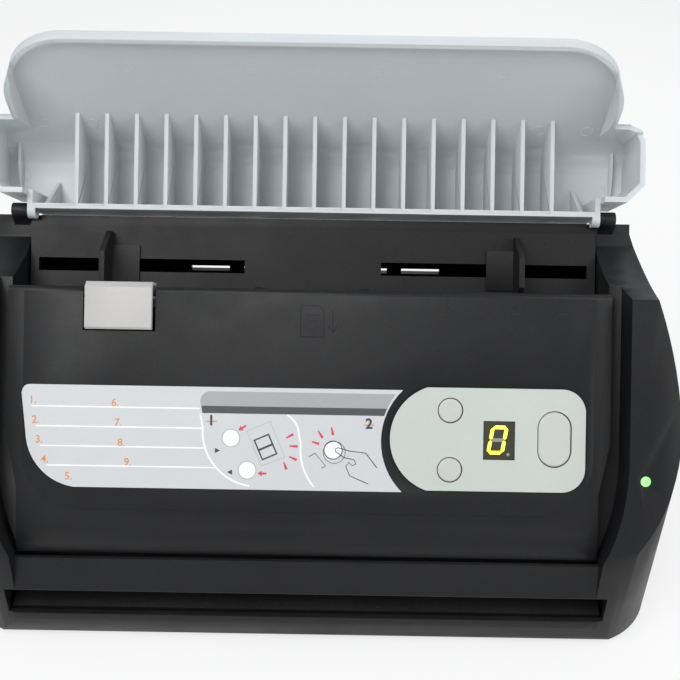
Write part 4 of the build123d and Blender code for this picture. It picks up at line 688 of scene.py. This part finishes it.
class Shape:
    """A mesh in the making, drawn on the slope in millimetres."""

    def __init__(self) -> None:
        """Starts with an empty mesh."""
        self.mesh = bmesh.new()

    def take(self, part: bmesh.types.BMesh, place: Matrix) -> None:
        """Joins a part to the shape.

        Args:
            part: The part, which is freed.
            place: Its place in the object's frame.
        """
        bmesh.ops.transform(part, matrix=place, verts=part.verts)
        bmesh.ops.recalc_face_normals(part, faces=part.faces)
        holder = bpy.data.meshes.new("part")
        part.to_mesh(holder)
        part.free()
        self.mesh.from_mesh(holder)
        bpy.data.meshes.remove(holder)

    def sheet(self, points: list[Point], n: float, thickness: float, shrink: float = 0.0) -> None:
        """Adds a thin flat sheet with a given outline.

        Args:
            points: Outline in x and s, in millimetres.
            n: Height of its underside.
            thickness: Thickness, in millimetres.
            shrink: Distance that the outline is drawn in by, in millimetres.
        """
        part = bmesh.new()
        corners = [part.verts.new((x * MM, -s * MM, 0)) for x, s in points]
        face = bmesh.ops.contextual_create(part, geom=corners)["faces"][0]
        if shrink:
            bmesh.ops.inset_region(part, faces=[face], thickness=shrink * MM, use_even_offset=True)
            rim = [other for other in part.faces if other is not face]
            bmesh.ops.delete(part, geom=rim, context="FACES")
        face = part.faces[:][0]
        grown = bmesh.ops.extrude_face_region(part, geom=[face], use_keep_orig=True)
        raised = [item for item in grown["geom"] if isinstance(item, bmesh.types.BMVert)]
        bmesh.ops.translate(part, verts=raised, vec=(0, 0, thickness * MM))
        self.take(part, SLOPE.frame(n))

    def disc(self, x: float, s: float, n: float, radius: float, height: float, bevel: float = 0.0) -> None:
        """Adds a round disc.

        Args:
            x: Place to the right, in millimetres.
            s: Place down the slope.
            n: Height of its underside.
            radius: Radius.
            height: Height.
            bevel: Width of its rounded upper edge.
        """
        part = bmesh.new()
        bmesh.ops.create_cone(
            part, cap_ends=True, segments=40, radius1=radius * MM, radius2=radius * MM, depth=height * MM,
            matrix=Matrix.Translation((0, 0, height * MM / 2)),
        )
        if bevel:
            top = [edge for edge in part.edges if all(vert.co.z > height * MM / 2 for vert in edge.verts)]
            bmesh.ops.bevel(
                part, geom=top, offset=bevel * MM, segments=3, profile=0.5, affect="EDGES", material=-1
            )
        self.take(part, SLOPE.frame(n) @ Matrix.Translation((x * MM, -s * MM, 0)))

    def ring(self, x: float, s: float, n: float, radius: float, wire: float, squash: float = 1.0) -> None:
        """Adds a ring with a round section, lying on the slope.

        Args:
            x: Place to the right, in millimetres.
            s: Place down the slope.
            n: Height of its middle.
            radius: Radius of its middle line.
            wire: Radius of its section.
            squash: Height of the section over its width.
        """
        part = bmesh.new()
        bmesh.ops.create_circle(
            part, segments=8, radius=wire * MM,
            matrix=Matrix.Translation((radius * MM, 0, 0)) @ Matrix.Rotation(pi / 2, 4, "X"),
        )
        bmesh.ops.spin(
            part, geom=part.verts[:] + part.edges[:], cent=(0, 0, 0), axis=(0, 0, 1),
            angle=2 * pi, steps=40, use_merge=True,
        )
        bmesh.ops.scale(part, vec=(1, 1, squash), verts=part.verts)
        self.take(part, SLOPE.frame(n) @ Matrix.Translation((x * MM, -s * MM, 0)))

    def stroke(self, points: list[Point], n: float, width: float, closed: bool = False, flat: float = 0.15) -> None:
        """Adds a drawn line of even width.

        Args:
            points: Points in x and s, in millimetres.
            n: Height of its middle.
            width: Width, in millimetres.
            closed: Whether its end joins its start.
            flat: Height of its section over its width.
        """
        line = bpy.data.curves.new("line", "CURVE")
        line.dimensions = "3D"
        line.bevel_depth = width * MM / 2
        line.bevel_resolution = 1
        line.use_fill_caps = not closed
        spline = line.splines.new("POLY")
        spline.points.add(len(points) - 1)
        for point, (x, s) in zip(spline.points, points):
            point.co = (x * MM, -s * MM, 0, 1)
        spline.use_cyclic_u = closed
        holder = bpy.data.objects.new("line", line)
        drawn = bpy.data.meshes.new_from_object(holder)
        part = bmesh.new()
        part.from_mesh(drawn)
        bpy.data.objects.remove(holder)
        bpy.data.curves.remove(line)
        bpy.data.meshes.remove(drawn)
        bmesh.ops.scale(part, vec=(1, 1, flat), verts=part.verts)
        self.take(part, SLOPE.frame(n))

    def digits(self, words: str, x: float, s: float, n: float, height: float, bold: float = 0.0) -> None:
        """Adds printed digits.

        Args:
            words: The digits.
            x: Place of their middle to the right, in millimetres.
            s: Place of their middle down the slope.
            n: Height of their underside.
            height: Height of a digit.
            bold: Extra width of each line.
        """
        text = bpy.data.curves.new("digits", "FONT")
        text.body = words
        text.size = height * MM * 1.4
        text.align_x = "CENTER"
        text.align_y = "CENTER"
        text.offset = bold * MM
        text.extrude = 0.01 * MM
        text.resolution_u = 3
        holder = bpy.data.objects.new("digits", text)
        drawn = bpy.data.meshes.new_from_object(holder)
        part = bmesh.new()
        part.from_mesh(drawn)
        bpy.data.objects.remove(holder)
        bpy.data.curves.remove(text)
        bpy.data.meshes.remove(drawn)
        self.take(part, SLOPE.frame(n) @ Matrix.Translation((x * MM, -s * MM, 0.01 * MM)))

    def piece(self, name: str, material: bpy.types.Material, body: Body) -> bpy.types.Object:
        """Turns the shape into a finished piece.

        Args:
            name: Name of the piece.
            material: Its material.
            body: The body that it rides on.

        Returns:
            The new object.
        """
        holder = bpy.data.meshes.new(name)
        self.mesh.to_mesh(holder)
        self.mesh.free()
        for polygon in holder.polygons:
            polygon.use_smooth = True
        holder.set_sharp_from_angle(angle=radians(35))
        holder.materials.append(material)
        made = bpy.data.objects.new(name, holder)
        bpy.context.scene.collection.objects.link(made)
        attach(made, body.value)
        log.info("%s: %d faces", name, len(holder.polygons))
        return made


# Printed label


@dataclass
class FunctionLabel:
    """Printed strip with nine numbered lines and two steps shown as pictograms."""

    palette: Palette
    top: float = 25.3
    layer: float = 0.02
    border: float = 1.25
    outline: list[Point] = field(default_factory=list)
    left_numbers: tuple[Point, ...] = ((-97.8, 72.3), (-96.7, 79.3), (-95.4, 86.3), (-93.2, 93.3), (-84.8, 99.2))
    right_numbers: tuple[Point, ...] = ((-68.6, 72.9), (-67.4, 79.9), (-66.2, 87.0), (-63.8, 93.9))
    line_left: tuple[Point, ...] = ((-98.2, 74.4), (-96.6, 81.4), (-95.0, 88.4), (-92.6, 95.3))
    line_right: tuple[Point, ...] = ((-38.6, 74.4), (-37.4, 81.4), (-36.0, 88.4), (-32.4, 95.3))

    def build(self) -> None:
        """Builds every ink of the label."""
        self.outline = (
            arc((33.5, 66.7), (25.9, 84.8), (33.5, 102.9))
            + arc((-83, 102.9), (-95.2, 96.3), (-100.2, 84), 14)
            + [(-101.8, 69.7)]
            + arc((-101.6, 69.0), (-100.8, 67.4), (-98.8, 66.7), 6)
        )
        self.field_sheet()
        self.header()
        self.lines()
        self.numbers()
        self.button_pictograms()
        self.rays()

    def field_sheet(self) -> None:
        """Lays the grey field inside the white border."""
        shape = Shape()
        shape.sheet(self.outline, self.top, self.layer, self.border)
        shape.piece("label_field", self.palette.material(Ink.FIELD.value), Body.COVER)

    def header(self) -> None:
        """Lays the band and the dark stripe over the two steps."""
        height = self.top + self.layer
        band = Shape()
        band.sheet(
            arc((-38.0, 73.4), (-38.0, 70.2), (-35.4, 68.2), 8) + [(30.9, 68.2), (29.2, 70.8), (27.9, 73.4)],
            height, self.layer,
        )
        band.piece("label_band", self.palette.material(Ink.BAND.value), Body.COVER)
        stripe = Shape()
        stripe.sheet([(-38.0, 73.4), (27.9, 73.4), (26.9, 76.0), (-37.6, 76.0)], height, self.layer)
        stripe.piece("label_stripe", self.palette.material(Ink.STRIPE.value), Body.COVER)

    def lines(self) -> None:
        """Draws the white rules and the curved borders of the steps."""
        shape = Shape()
        height = self.top + self.layer
        for left, right in zip(self.line_left, self.line_right):
            shape.stroke([left, right], height, 0.5, flat=0.1)
        shape.stroke(
            [(-38.3, 76.2)] + arc((-37.4, 81), (-32.4, 95.3), (-20.6, 101.6), 18), height, 0.6, flat=0.1
        )
        shape.stroke(
            arc((-7.6, 76.2), (-4.6, 78.8), (-3.3, 82.6), 8) + arc((-2.5, 86.4), (-1.6, 94.6), (2.4, 101.6), 12),
            height, 0.6, flat=0.1,
        )
        shape.piece("label_rules", self.palette.material(Ink.WHITE.value), Body.COVER)

    def numbers(self) -> None:
        """Prints the line numbers and the struck step numbers."""
        orange = Shape()
        height = self.top + 2 * self.layer
        for number, (x, s) in enumerate(self.left_numbers + self.right_numbers, start=1):
            orange.digits(f"{number}.", x, s, height - self.layer, 2.7, 0.05)
        for x, s in ((-34.4, 78.9), (21.6, 79.3)):
            orange.stroke([(x - 2.0, s), (x + 2.0, s)], height, 0.4, flat=0.1)
        orange.piece("label_numbers", self.palette.material(Ink.ORANGE.value), Body.COVER)
        black = Shape()
        black.digits("1", -34.4, 78.7, height, 3.6, 0.14)
        black.digits("2", 21.6, 79.0, height, 3.6, 0.14)
        black.sheet([(-32.9, 88.3), (-31.1, 89.2), (-32.9, 90.1)], height, self.layer)
        black.sheet([(-26.7, 95.9), (-28.5, 96.8), (-26.7, 97.7)], height, self.layer)
        black.piece("label_step_numbers", self.palette.material(Ink.BLACK.value), Body.COVER)

    def button_pictograms(self) -> None:
        """Draws the buttons, the digit window and the pressing finger."""
        height = self.top + 2 * self.layer
        white = Shape()
        grey = Shape()
        for x, s in ((-27.3, 84.7), (-21.4, 96.0)):
            white.disc(x, s, height - self.layer, 2.95, self.layer)
            grey.ring(x, s, height, 3.15, 0.12, 0.1)
        white.disc(9.0, 88.4, height - self.layer, 2.9, self.layer)
        white.piece("label_buttons", self.palette.material(Ink.WHITE.value), Body.COVER)
        grey.stroke([(-21.7, 82.1), (-13.5, 78.6), (-8.1, 91.0), (-16.3, 94.5)], height, 0.22, True, 0.1)
        grey.piece("label_outlines", self.palette.material(Ink.BAND.value), Body.COVER)
        black = Shape()
        black.stroke([(-19.0, 85.4), (-14.0, 83.2), (-11.0, 90.0), (-16.0, 92.2)], height, 0.75, True, 0.1)
        black.stroke([(-17.3, 88.8), (-12.6, 86.7)], height, 0.75, False, 0.1)
        black.ring(9.0, 88.4, height, 3.25, 0.14, 0.1)
        black.ring(9.4, 89.2, height, 3.9, 0.1, 0.1)
        finger = [
            (24.6, 94.4), (20.6, 89.3), (14.6, 88.6), (10.8, 87.5), (9.7, 88.0), (10.0, 89.0),
            (13.0, 91.0), (16.4, 91.7), (17.2, 93.2), (15.8, 93.8), (14.6, 92.6), (13.6, 94.2),
            (15.0, 97.4), (21.6, 100.2),
        ]
        black.stroke(finger, height, 0.32, False, 0.1)
        black.stroke([(0.4, 90.9), (2.6, 89.6), (6.4, 94.0), (5.0, 94.9)], height, 0.3, False, 0.1)
        black.piece("label_drawings", self.palette.material(Ink.BLACK.value), Body.COVER)

    def rays(self) -> None:
        """Draws the red arrows and rays."""
        shape = Shape()
        height = self.top + 2 * self.layer
        tapers = (
            ((-7.8, 84.4), (-5.2, 83.0)), ((-6.6, 87.2), (-3.6, 87.3)), ((-6.6, 90.9), (-3.9, 92.1)),
            ((-8.5, 92.9), (-7.4, 95.5)), ((1.4, 85.5), (4.0, 86.3)), ((3.6, 81.6), (5.2, 84.1)),
            ((8.3, 80.3), (8.9, 83.1)),
        )
        for (x, s), (end_x, end_s) in tapers:
            run = hypot(end_x - x, end_s - s)
            across = ((end_s - s) / run, -(end_x - x) / run)
            shape.sheet(
                [
                    (x + 0.22 * across[0], s + 0.22 * across[1]), (end_x + 0.5 * across[0], end_s + 0.5 * across[1]),
                    (end_x - 0.5 * across[0], end_s - 0.5 * across[1]), (x - 0.22 * across[0], s - 0.22 * across[1]),
                ],
                height, self.layer,
            )
        for (x, s), (end_x, end_s) in (((-24.7, 82.0), (-22.0, 80.2)), ((-17.7, 97.1), (-14.5, 97.1))):
            run = hypot(end_x - x, end_s - s)
            along = ((end_x - x) / run, (end_s - s) / run)
            across = (along[1], -along[0])
            neck = (x + 1.6 * along[0], s + 1.6 * along[1])
            shape.sheet(
                [
                    (x, s), (neck[0] + 1.0 * across[0], neck[1] + 1.0 * across[1]),
                    (neck[0] - 1.0 * across[0], neck[1] - 1.0 * across[1]),
                ],
                height, self.layer,
            )
            shape.stroke([neck, (end_x, end_s)], height, 0.7, False, 0.1)
        shape.piece("label_rays", self.palette.material(Ink.RED.value), Body.COVER)


# Control panel


@dataclass
class ControlPanel:
    """Legends, lit digit and painted shade round the buttons of the control panel."""

    palette: Palette
    top: float = 25.2
    window_top: float = 24.9
    digit_x: float = 67.3
    digit_s: float = 83.9
    digit_width: float = 4.9
    digit_height: float = 9.0
    stroke: float = 1.25
    lean: float = radians(10)

    def build(self) -> None:
        """Builds the legends, the digit and the painted shade round the buttons."""
        self.legends()
        self.digit()
        self.button_gap_shade()

    def legends(self) -> None:
        """Prints the arrows and two plain marks beside the buttons."""
        shape = Shape()
        shape.sheet([(43.0, 73.0), (44.6, 75.7), (41.4, 75.7)], self.top, 0.02)
        shape.sheet([(43.0, 96.3), (41.4, 93.6), (44.6, 93.6)], self.top, 0.02)
        for row in range(3):
            s = 83.1 + 1.5 * row
            shape.disc(37.4, s, self.top, 0.35, 0.02)
            shape.stroke([(38.8, s), (47.6 - 1.2 * row, s)], self.top, 0.5, flat=0.08)
        page = [(85.8, 69.2), (88.4, 69.2), (89.6, 70.4), (89.6, 72.4), (85.8, 72.4)]
        shape.stroke(page, self.top, 0.3, True, 0.1)
        shape.stroke([(86.8, 70.9), (88.6, 70.9)], self.top, 0.25, flat=0.1)
        shape.piece("panel_legends", self.palette.material(Ink.LEGEND.value), Body.COVER)

    def leaned(self, across: float, up: float) -> Point:
        """Places a point of the digit.

        Args:
            across: Distance right of the digit's middle.
            up: Distance above its middle.

        Returns:
            The place in x and s.
        """
        return (self.digit_x + across + up * tan(self.lean), self.digit_s - up)

    def segment(self, shape: Shape, start: Point, end: Point) -> None:
        """Adds one bar of the digit with pointed ends.

        Args:
            shape: Shape to add to.
            start: One end, across and up from the digit's middle.
            end: The other end.
        """
        run = hypot(end[0] - start[0], end[1] - start[1])
        along = ((end[0] - start[0]) / run, (end[1] - start[1]) / run)
        across = (-along[1], along[0])
        half = self.stroke / 2
        gap = 0.12
        outline = []
        for reach, side in ((gap, 0), (gap + half, 1), (run - gap - half, 1), (run - gap, 0),
                            (run - gap - half, -1), (gap + half, -1)):
            outline.append(
                self.leaned(
                    start[0] + reach * along[0] + side * half * across[0],
                    start[1] + reach * along[1] + side * half * across[1],
                )
            )
        shape.sheet(outline, self.window_top, 0.04)

    def digit(self) -> None:
        """Draws a lit nought with its middle bar and point unlit."""
        half_x = self.digit_width / 2
        half_y = self.digit_height / 2
        lit = Shape()
        for side in (-half_x, half_x):
            self.segment(lit, (side, 0), (side, half_y))
            self.segment(lit, (side, -half_y), (side, 0))
        for level in (-half_y, half_y):
            self.segment(lit, (-half_x, level), (half_x, level))
        lit.piece("display_digit", self.palette.material(Ink.SEGMENT_LIT.value), Body.COVER)
        dark = Shape()
        self.segment(dark, (-half_x, 0), (half_x, 0))
        dark.disc(71.1, 89.0, self.window_top, 0.6, 0.04)
        dark.piece("display_unlit", self.palette.material(Ink.SEGMENT_DARK.value), Body.COVER)

    def button_gap_shade(self) -> None:
        """Lays dark rings in the gap round each button as painted shade from its well."""
        shape = Shape()
        for s in (73.6, 94.6):
            shape.ring(50.3, s, self.top, 4.78, 0.26, 0.3)
        rim = arc((81.0, 79.35), (87.3, 73.05), (93.6, 79.35), 20)
        rim += arc((93.6, 87.25), (87.3, 93.55), (81.0, 87.25), 20)
        shape.stroke(rim, self.top, 0.5, True, 0.3)
        # The dark rings are painted shade in the button gaps, not a part of the panel.
        shadow = self.palette.material(SLOT_FINISHES[Slot.INNER_BLACK])
        shape.piece("button_gap_painted_shade", shadow, Body.COVER)


# Moulded marks


@dataclass
class CoverMarks:
    """Raised sheet-width marks and the feed sign at the cover's upper edge."""

    palette: Palette
    top: float = 25.0
    tick_x: tuple[float, ...] = (48.9, 60.9, 72.9, 90.0)
    tick_s: float = 34.4

    def build(self) -> None:
        """Builds the marks."""
        shape = Shape()
        for index, x in enumerate(self.tick_x):
            shape.stroke([(x, self.tick_s), (x, self.tick_s + 3.4)], self.top, 0.5, flat=0.5)
            shape.stroke([(x - 1.6, self.tick_s + 4.6), (x + 1.6, self.tick_s + 4.6)], self.top, 0.45, flat=0.5)
            for dot in range(index + 1):
                shape.disc(x - 1.2 + 0.9 * dot, self.tick_s + 6.0, self.top, 0.28, 0.15)
        page = [(-3.2, 37.4), (3.2, 37.4), (5.0, 39.4), (5.0, 48.4), (-3.2, 48.4)]
        shape.stroke(page, self.top, 0.5, True, 0.5)
        for row in range(3):
            shape.stroke([(-1.4, 40.6 + 2.2 * row), (3.2, 40.6 + 2.2 * row)], self.top, 0.4, flat=0.5)
        shape.stroke([(8.2, 39.0), (8.2, 46.6)], self.top, 0.5, flat=0.5)
        shape.stroke([(6.8, 44.8), (8.2, 46.8), (9.6, 44.8)], self.top, 0.5, flat=0.5)
        # The marks' lighter black is painted sheen.
        shape.piece("cover_marks", self.palette.material(Ink.MOULDED_SHEEN.value), Body.COVER)


@dataclass
class LidDetail:
    """Ejector marks and the low fins in the ears of the lid."""

    palette: Palette
    floor: float = -19.5
    bend: float = radians(60)
    crest_s: float = -35.5
    fin_x: float = 117.0

    def steep(self, reach: float) -> Point:
        """Finds a place on the lid's steep face.

        Args:
            reach: Distance up the face from the crest line.

        Returns:
            Its place in s and n.
        """
        return (self.crest_s - reach * cos(self.bend), reach * sin(self.bend))

    def build(self) -> None:
        """Builds the marks and the fins."""
        marks = Shape()
        for x in (-116.2, 116.2):
            marks.ring(x, -14.5, self.floor, 2.3, 0.12, 1.0)
            marks.disc(x, -14.5, self.floor - 0.2, 2.2, 0.26, 0.05)
        for x in (-104.5, -86.0, 86.0, 104.5):
            self.steep_mark(marks, x, -6.0)
        for x in (-67.8, -22.6, 22.6, 67.8):
            self.steep_mark(marks, x, 24.0)
        marks.piece("lid_ejector_marks", self.palette.material(SLOT_FINISHES[Slot.LID_GREY]), Body.LID)
        fins = Shape()
        for x in (-self.fin_x, self.fin_x):
            self.fin(fins, x)
        fins.piece("lid_ear_fins", self.palette.material(SLOT_FINISHES[Slot.LID_GREY]), Body.LID)

    def steep_mark(self, shape: Shape, x: float, reach: float) -> None:
        """Adds a round ejector mark on the steep face.

        Args:
            shape: Shape to add to.
            x: Place to the right, in millimetres.
            reach: Distance up the face from the crest line.
        """
        part = bmesh.new()
        bmesh.ops.create_circle(
            part, segments=8, radius=0.12 * MM,
            matrix=Matrix.Translation((2.3 * MM, 0, 0)) @ Matrix.Rotation(pi / 2, 4, "X"),
        )
        bmesh.ops.spin(
            part, geom=part.verts[:] + part.edges[:], cent=(0, 0, 0), axis=(0, 0, 1),
            angle=2 * pi, steps=40, use_merge=True,
        )
        s, n = self.steep(reach)
        turn = Matrix.Rotation(self.bend, 4, "X")
        shape.take(part, SLOPE.frame(n) @ Matrix.Translation((x * MM, -s * MM, 0)) @ turn)

    def fin(self, shape: Shape, x: float) -> None:
        """Adds a thin curved fin that stands in an ear.

        Args:
            shape: Shape to add to.
            x: Place to the right, in millimetres.
        """
        crest = arc((-5.4, self.floor - 0.3), (-15, self.floor + 3.2), (-26.5, self.floor + 4.4), 14)
        foot = [(-26.5, self.floor + 1.8), (-22.5, self.floor - 0.3)]
        part = bmesh.new()
        corners = [part.verts.new((0, -s * MM, n * MM)) for s, n in crest + foot]
        face = bmesh.ops.contextual_create(part, geom=corners)["faces"][0]
        grown = bmesh.ops.extrude_face_region(part, geom=[face], use_keep_orig=True)
        raised = [item for item in grown["geom"] if isinstance(item, bmesh.types.BMVert)]
        bmesh.ops.translate(part, verts=raised, vec=(1.0 * MM, 0, 0))
        shape.take(part, SLOPE.frame(0) @ Matrix.Translation(((x - 0.5) * MM, 0, 0)))


@dataclass
class Fasteners:
    """Dark crosses on the screw heads at the rear and under the base, painted shade standing in for their cross
    recesses.
    """

    palette: Palette
    rear_y: float = 58.2
    rear_places: tuple[Point, ...] = ((-120, 24), (120, 24), (-120, 88), (120, 88))
    base_places: tuple[Point, ...] = ((-114, -51.3), (114, -51.3), (-114, 44.2), (114, 44.2))

    def cross(self, shape: Shape, place: Matrix) -> None:
        """Adds a dark cross, painted shade for a cross recess.

        Args:
            shape: Shape to add to.
            place: Where its face points out, along Z.
        """
        for turn in (0, pi / 2):
            part = bmesh.new()
            bmesh.ops.create_cube(part, size=1, matrix=Matrix.Diagonal((3.0 * MM, 0.6 * MM, 0.1 * MM, 1)))
            bmesh.ops.bevel(
                part, geom=part.edges[:], offset=0.03 * MM, segments=1, profile=0.5, affect="EDGES", material=-1
            )
            shape.take(part, place @ Matrix.Rotation(turn + pi / 4, 4, "Z"))

    def build(self) -> None:
        """Builds the dark crosses of painted recess shade."""
        shape = Shape()
        for x, z in self.rear_places:
            place = Matrix.Translation((x * MM, (self.rear_y + 1.6) * MM, z * MM)) @ Matrix.Rotation(-pi / 2, 4, "X")
            self.cross(shape, place)
        for x, y in self.base_places:
            place = Matrix.Translation((x * MM, y * MM, 2.6 * MM)) @ Matrix.Rotation(pi, 4, "X")
            self.cross(shape, place)
        # The dark crosses are painted shade for the recesses, not holes cut in the heads.
        dark = self.palette.material(SLOT_FINISHES[Slot.SOCKET_BLACK])
        shape.piece("screw_recess_painted_shade", dark, Body.CASING)


# Casing trim


@dataclass
class CasingDetail:
    """Ring round the power light."""

    palette: Palette
    light_x: float = 118.3
    light_s: float = 97.0
    pod_top: float = 31.3

    def build(self) -> None:
        """Builds the ring."""
        shape = Shape()
        shape.ring(self.light_x, self.light_s, self.pod_top - 0.05, 1.95, 0.16, 0.8)
        black = self.palette.material(SLOT_FINISHES[Slot.BLACK_SHELL])
        shape.piece("power_light_ring", black, Body.CASING)


# Studio


@dataclass
class Studio:
    """Pale floor, soft lamps and the camera over the sheet."""

    lens_pixels: float = 1000
    frame_pixels: float = 680
    sensor: float = 36
    distance: float = 380
    aim_x: float = 10.8
    aim_s: float = 49.3
    roll: float = radians(0.95)

    def floor(self) -> None:
        """Lays the floor, which shows white to the camera but keeps the shadow."""
        sheet = bmesh.new()
        bmesh.ops.create_grid(sheet, x_segments=8, y_segments=8, size=3)
        holder = bpy.data.meshes.new("floor")
        sheet.to_mesh(holder)
        sheet.free()
        material = bpy.data.materials.new("Pale table")
        material.use_nodes = True
        tree = material.node_tree
        tree.nodes.clear()
        shade = tree.nodes.new("ShaderNodeBsdfDiffuse")
        shade.inputs["Color"].default_value = (0.86, 0.86, 0.86, 1)
        glow = tree.nodes.new("ShaderNodeEmission")
        glow.inputs["Color"].default_value = (1, 1, 1, 1)
        path = tree.nodes.new("ShaderNodeLightPath")
        seen = value_node(tree, "MAXIMUM", path.outputs["Is Camera Ray"], path.outputs["Is Glossy Ray"])
        seen = value_node(tree, "MAXIMUM", seen, path.outputs["Is Transmission Ray"])
        mix = tree.nodes.new("ShaderNodeMixShader")
        tree.links.new(value_node(tree, "MULTIPLY", seen, 0.72), mix.inputs["Fac"])
        tree.links.new(shade.outputs["BSDF"], mix.inputs[1])
        tree.links.new(glow.outputs["Emission"], mix.inputs[2])
        tree.links.new(mix.outputs["Shader"], tree.nodes.new("ShaderNodeOutputMaterial").inputs["Surface"])
        holder.materials.append(material)
        ground = bpy.data.objects.new("floor", holder)
        bpy.context.scene.collection.objects.link(ground)

    def lamp(self, name: str, place: Vector, size: float, power: float) -> None:
        """Hangs a soft square lamp that faces the scanner.

        Args:
            name: Name of the lamp.
            place: Its place, in metres.
            size: Side of the square.
            power: Power in watts.
        """
        light = bpy.data.lights.new(name, "AREA")
        light.size = size
        light.energy = power
        holder = bpy.data.objects.new(name, light)
        aim = Vector((0, 0, 0.07)) - place
        holder.matrix_world = Matrix.Translation(place) @ aim.to_track_quat("-Z", "Y").to_matrix().to_4x4()
        bpy.context.scene.collection.objects.link(holder)

    def surround(self) -> None:
        """Sets the even light of the room."""
        world = bpy.data.worlds.new("Room")
        world.use_nodes = True
        shade = world.node_tree.nodes["Background"]
        shade.inputs["Color"].default_value = (0.95, 0.97, 1.0, 1)
        shade.inputs["Strength"].default_value = 0.5
        bpy.context.scene.world = world

    def camera(self) -> None:
        """Stands the camera square over the slope, as far off as the photographer stood."""
        lens = bpy.data.cameras.new("camera")
        lens.sensor_width = self.sensor
        lens.lens = self.lens_pixels / self.frame_pixels * self.sensor
        lens.clip_start = 0.01
        holder = bpy.data.objects.new("camera", lens)
        holder.matrix_world = (
            SLOPE.frame(0)
            @ Matrix.Translation((self.aim_x * MM, -self.aim_s * MM, self.distance * MM))
            @ Matrix.Rotation(self.roll, 4, "Z")
        )
        bpy.context.scene.collection.objects.link(holder)
        bpy.context.scene.camera = holder

    def build(self) -> None:
        """Builds the floor, the lamps, the surround and the camera."""
        self.floor()
        self.lamp("key", Vector((-0.35, -0.45, 0.75)), 0.5, 4.2)
        self.lamp("fill", Vector((0.6, -0.2, 0.5)), 0.5, 2.0)
        self.lamp("back", Vector((0.1, 0.6, 0.6)), 0.6, 1.4)
        self.surround()
        self.camera()
        bpy.context.scene.view_settings.view_transform = "Standard"


# Rounded edges


@dataclass(frozen=True)
class EdgeRounding:
    """Small moulded radius on the sharp edges of a carried-over solid."""

    node: str
    slot: Slot
    radius: float
    sharp: float = radians(40)
    weld: float = 0.002
    flat: float = radians(1)

    def build(self, frame: dict, palette: Palette) -> None:
        """Builds a copy with rounded edges that stands for the node.

        Args:
            frame: The loaded frame.
            palette: The materials.
        """
        source = frame["nodes"][self.node]
        part = bmesh.new()
        part.from_mesh(source.data)
        bmesh.ops.remove_doubles(part, verts=part.verts, dist=self.weld * MM)
        bmesh.ops.dissolve_limit(
            part, angle_limit=self.flat, verts=part.verts, edges=part.edges, delimit={"NORMAL"}
        )
        holder = bpy.data.meshes.new(self.node + "_moulded")
        part.to_mesh(holder)
        part.free()
        holder.materials.append(palette.material(SLOT_FINISHES[self.slot]))
        for polygon in holder.polygons:
            polygon.use_smooth = True
        made = bpy.data.objects.new(self.node + "_moulded", holder)
        bpy.context.scene.collection.objects.link(made)
        round_off = made.modifiers.new("edge radius", "BEVEL")
        round_off.width = self.radius * MM
        round_off.segments = 2
        round_off.limit_method = "ANGLE"
        round_off.angle_limit = self.sharp
        round_off.harden_normals = True
        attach(made, source["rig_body"])
        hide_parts(self.node)
        log.info("%s: edges rounded to %.2f mm", self.node, self.radius)


def dress_nodes(frame: dict, palette: Palette) -> None:
    """Gives every carried-over solid the material of its slot.

    Args:
        frame: The loaded frame.
        palette: The materials.
    """
    for part in frame["record"]["subparts"]:
        node = frame["nodes"][part["node"]]
        node.data.materials.clear()
        node.data.materials.append(palette.material(SLOT_FINISHES[Slot(part["material_slot"])]))
        log.info("%s dressed as %s", part["node"], part["material_slot"])


ROUNDED = (
    EdgeRounding("lid_shell", Slot.LID_GREY, 0.3),
    EdgeRounding("front_cover_shell", Slot.BLACK_SHELL, 0.35),
    EdgeRounding("main_casing", Slot.BLACK_SHELL, 0.4),
    EdgeRounding("release_lever", Slot.LEVER_GREY, 0.25),
    EdgeRounding("paper_guide_left", Slot.INNER_BLACK, 0.25),
    EdgeRounding("paper_guide_right", Slot.INNER_BLACK, 0.25),
)


def main() -> None:
    """Builds the whole scene."""
    logging.basicConfig(level=logging.INFO, format="%(message)s")
    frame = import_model()
    palette = Palette()
    dress_nodes(frame, palette)
    for rounding in ROUNDED:
        rounding.build(frame, palette)
    Studio().build()
    for assembly in (
        FunctionLabel(palette),
        ControlPanel(palette),
        CoverMarks(palette),
        LidDetail(palette),
        CasingDetail(palette),
        Fasteners(palette),
    ):
        assembly.build()


if __name__ == "__main__":
    main()
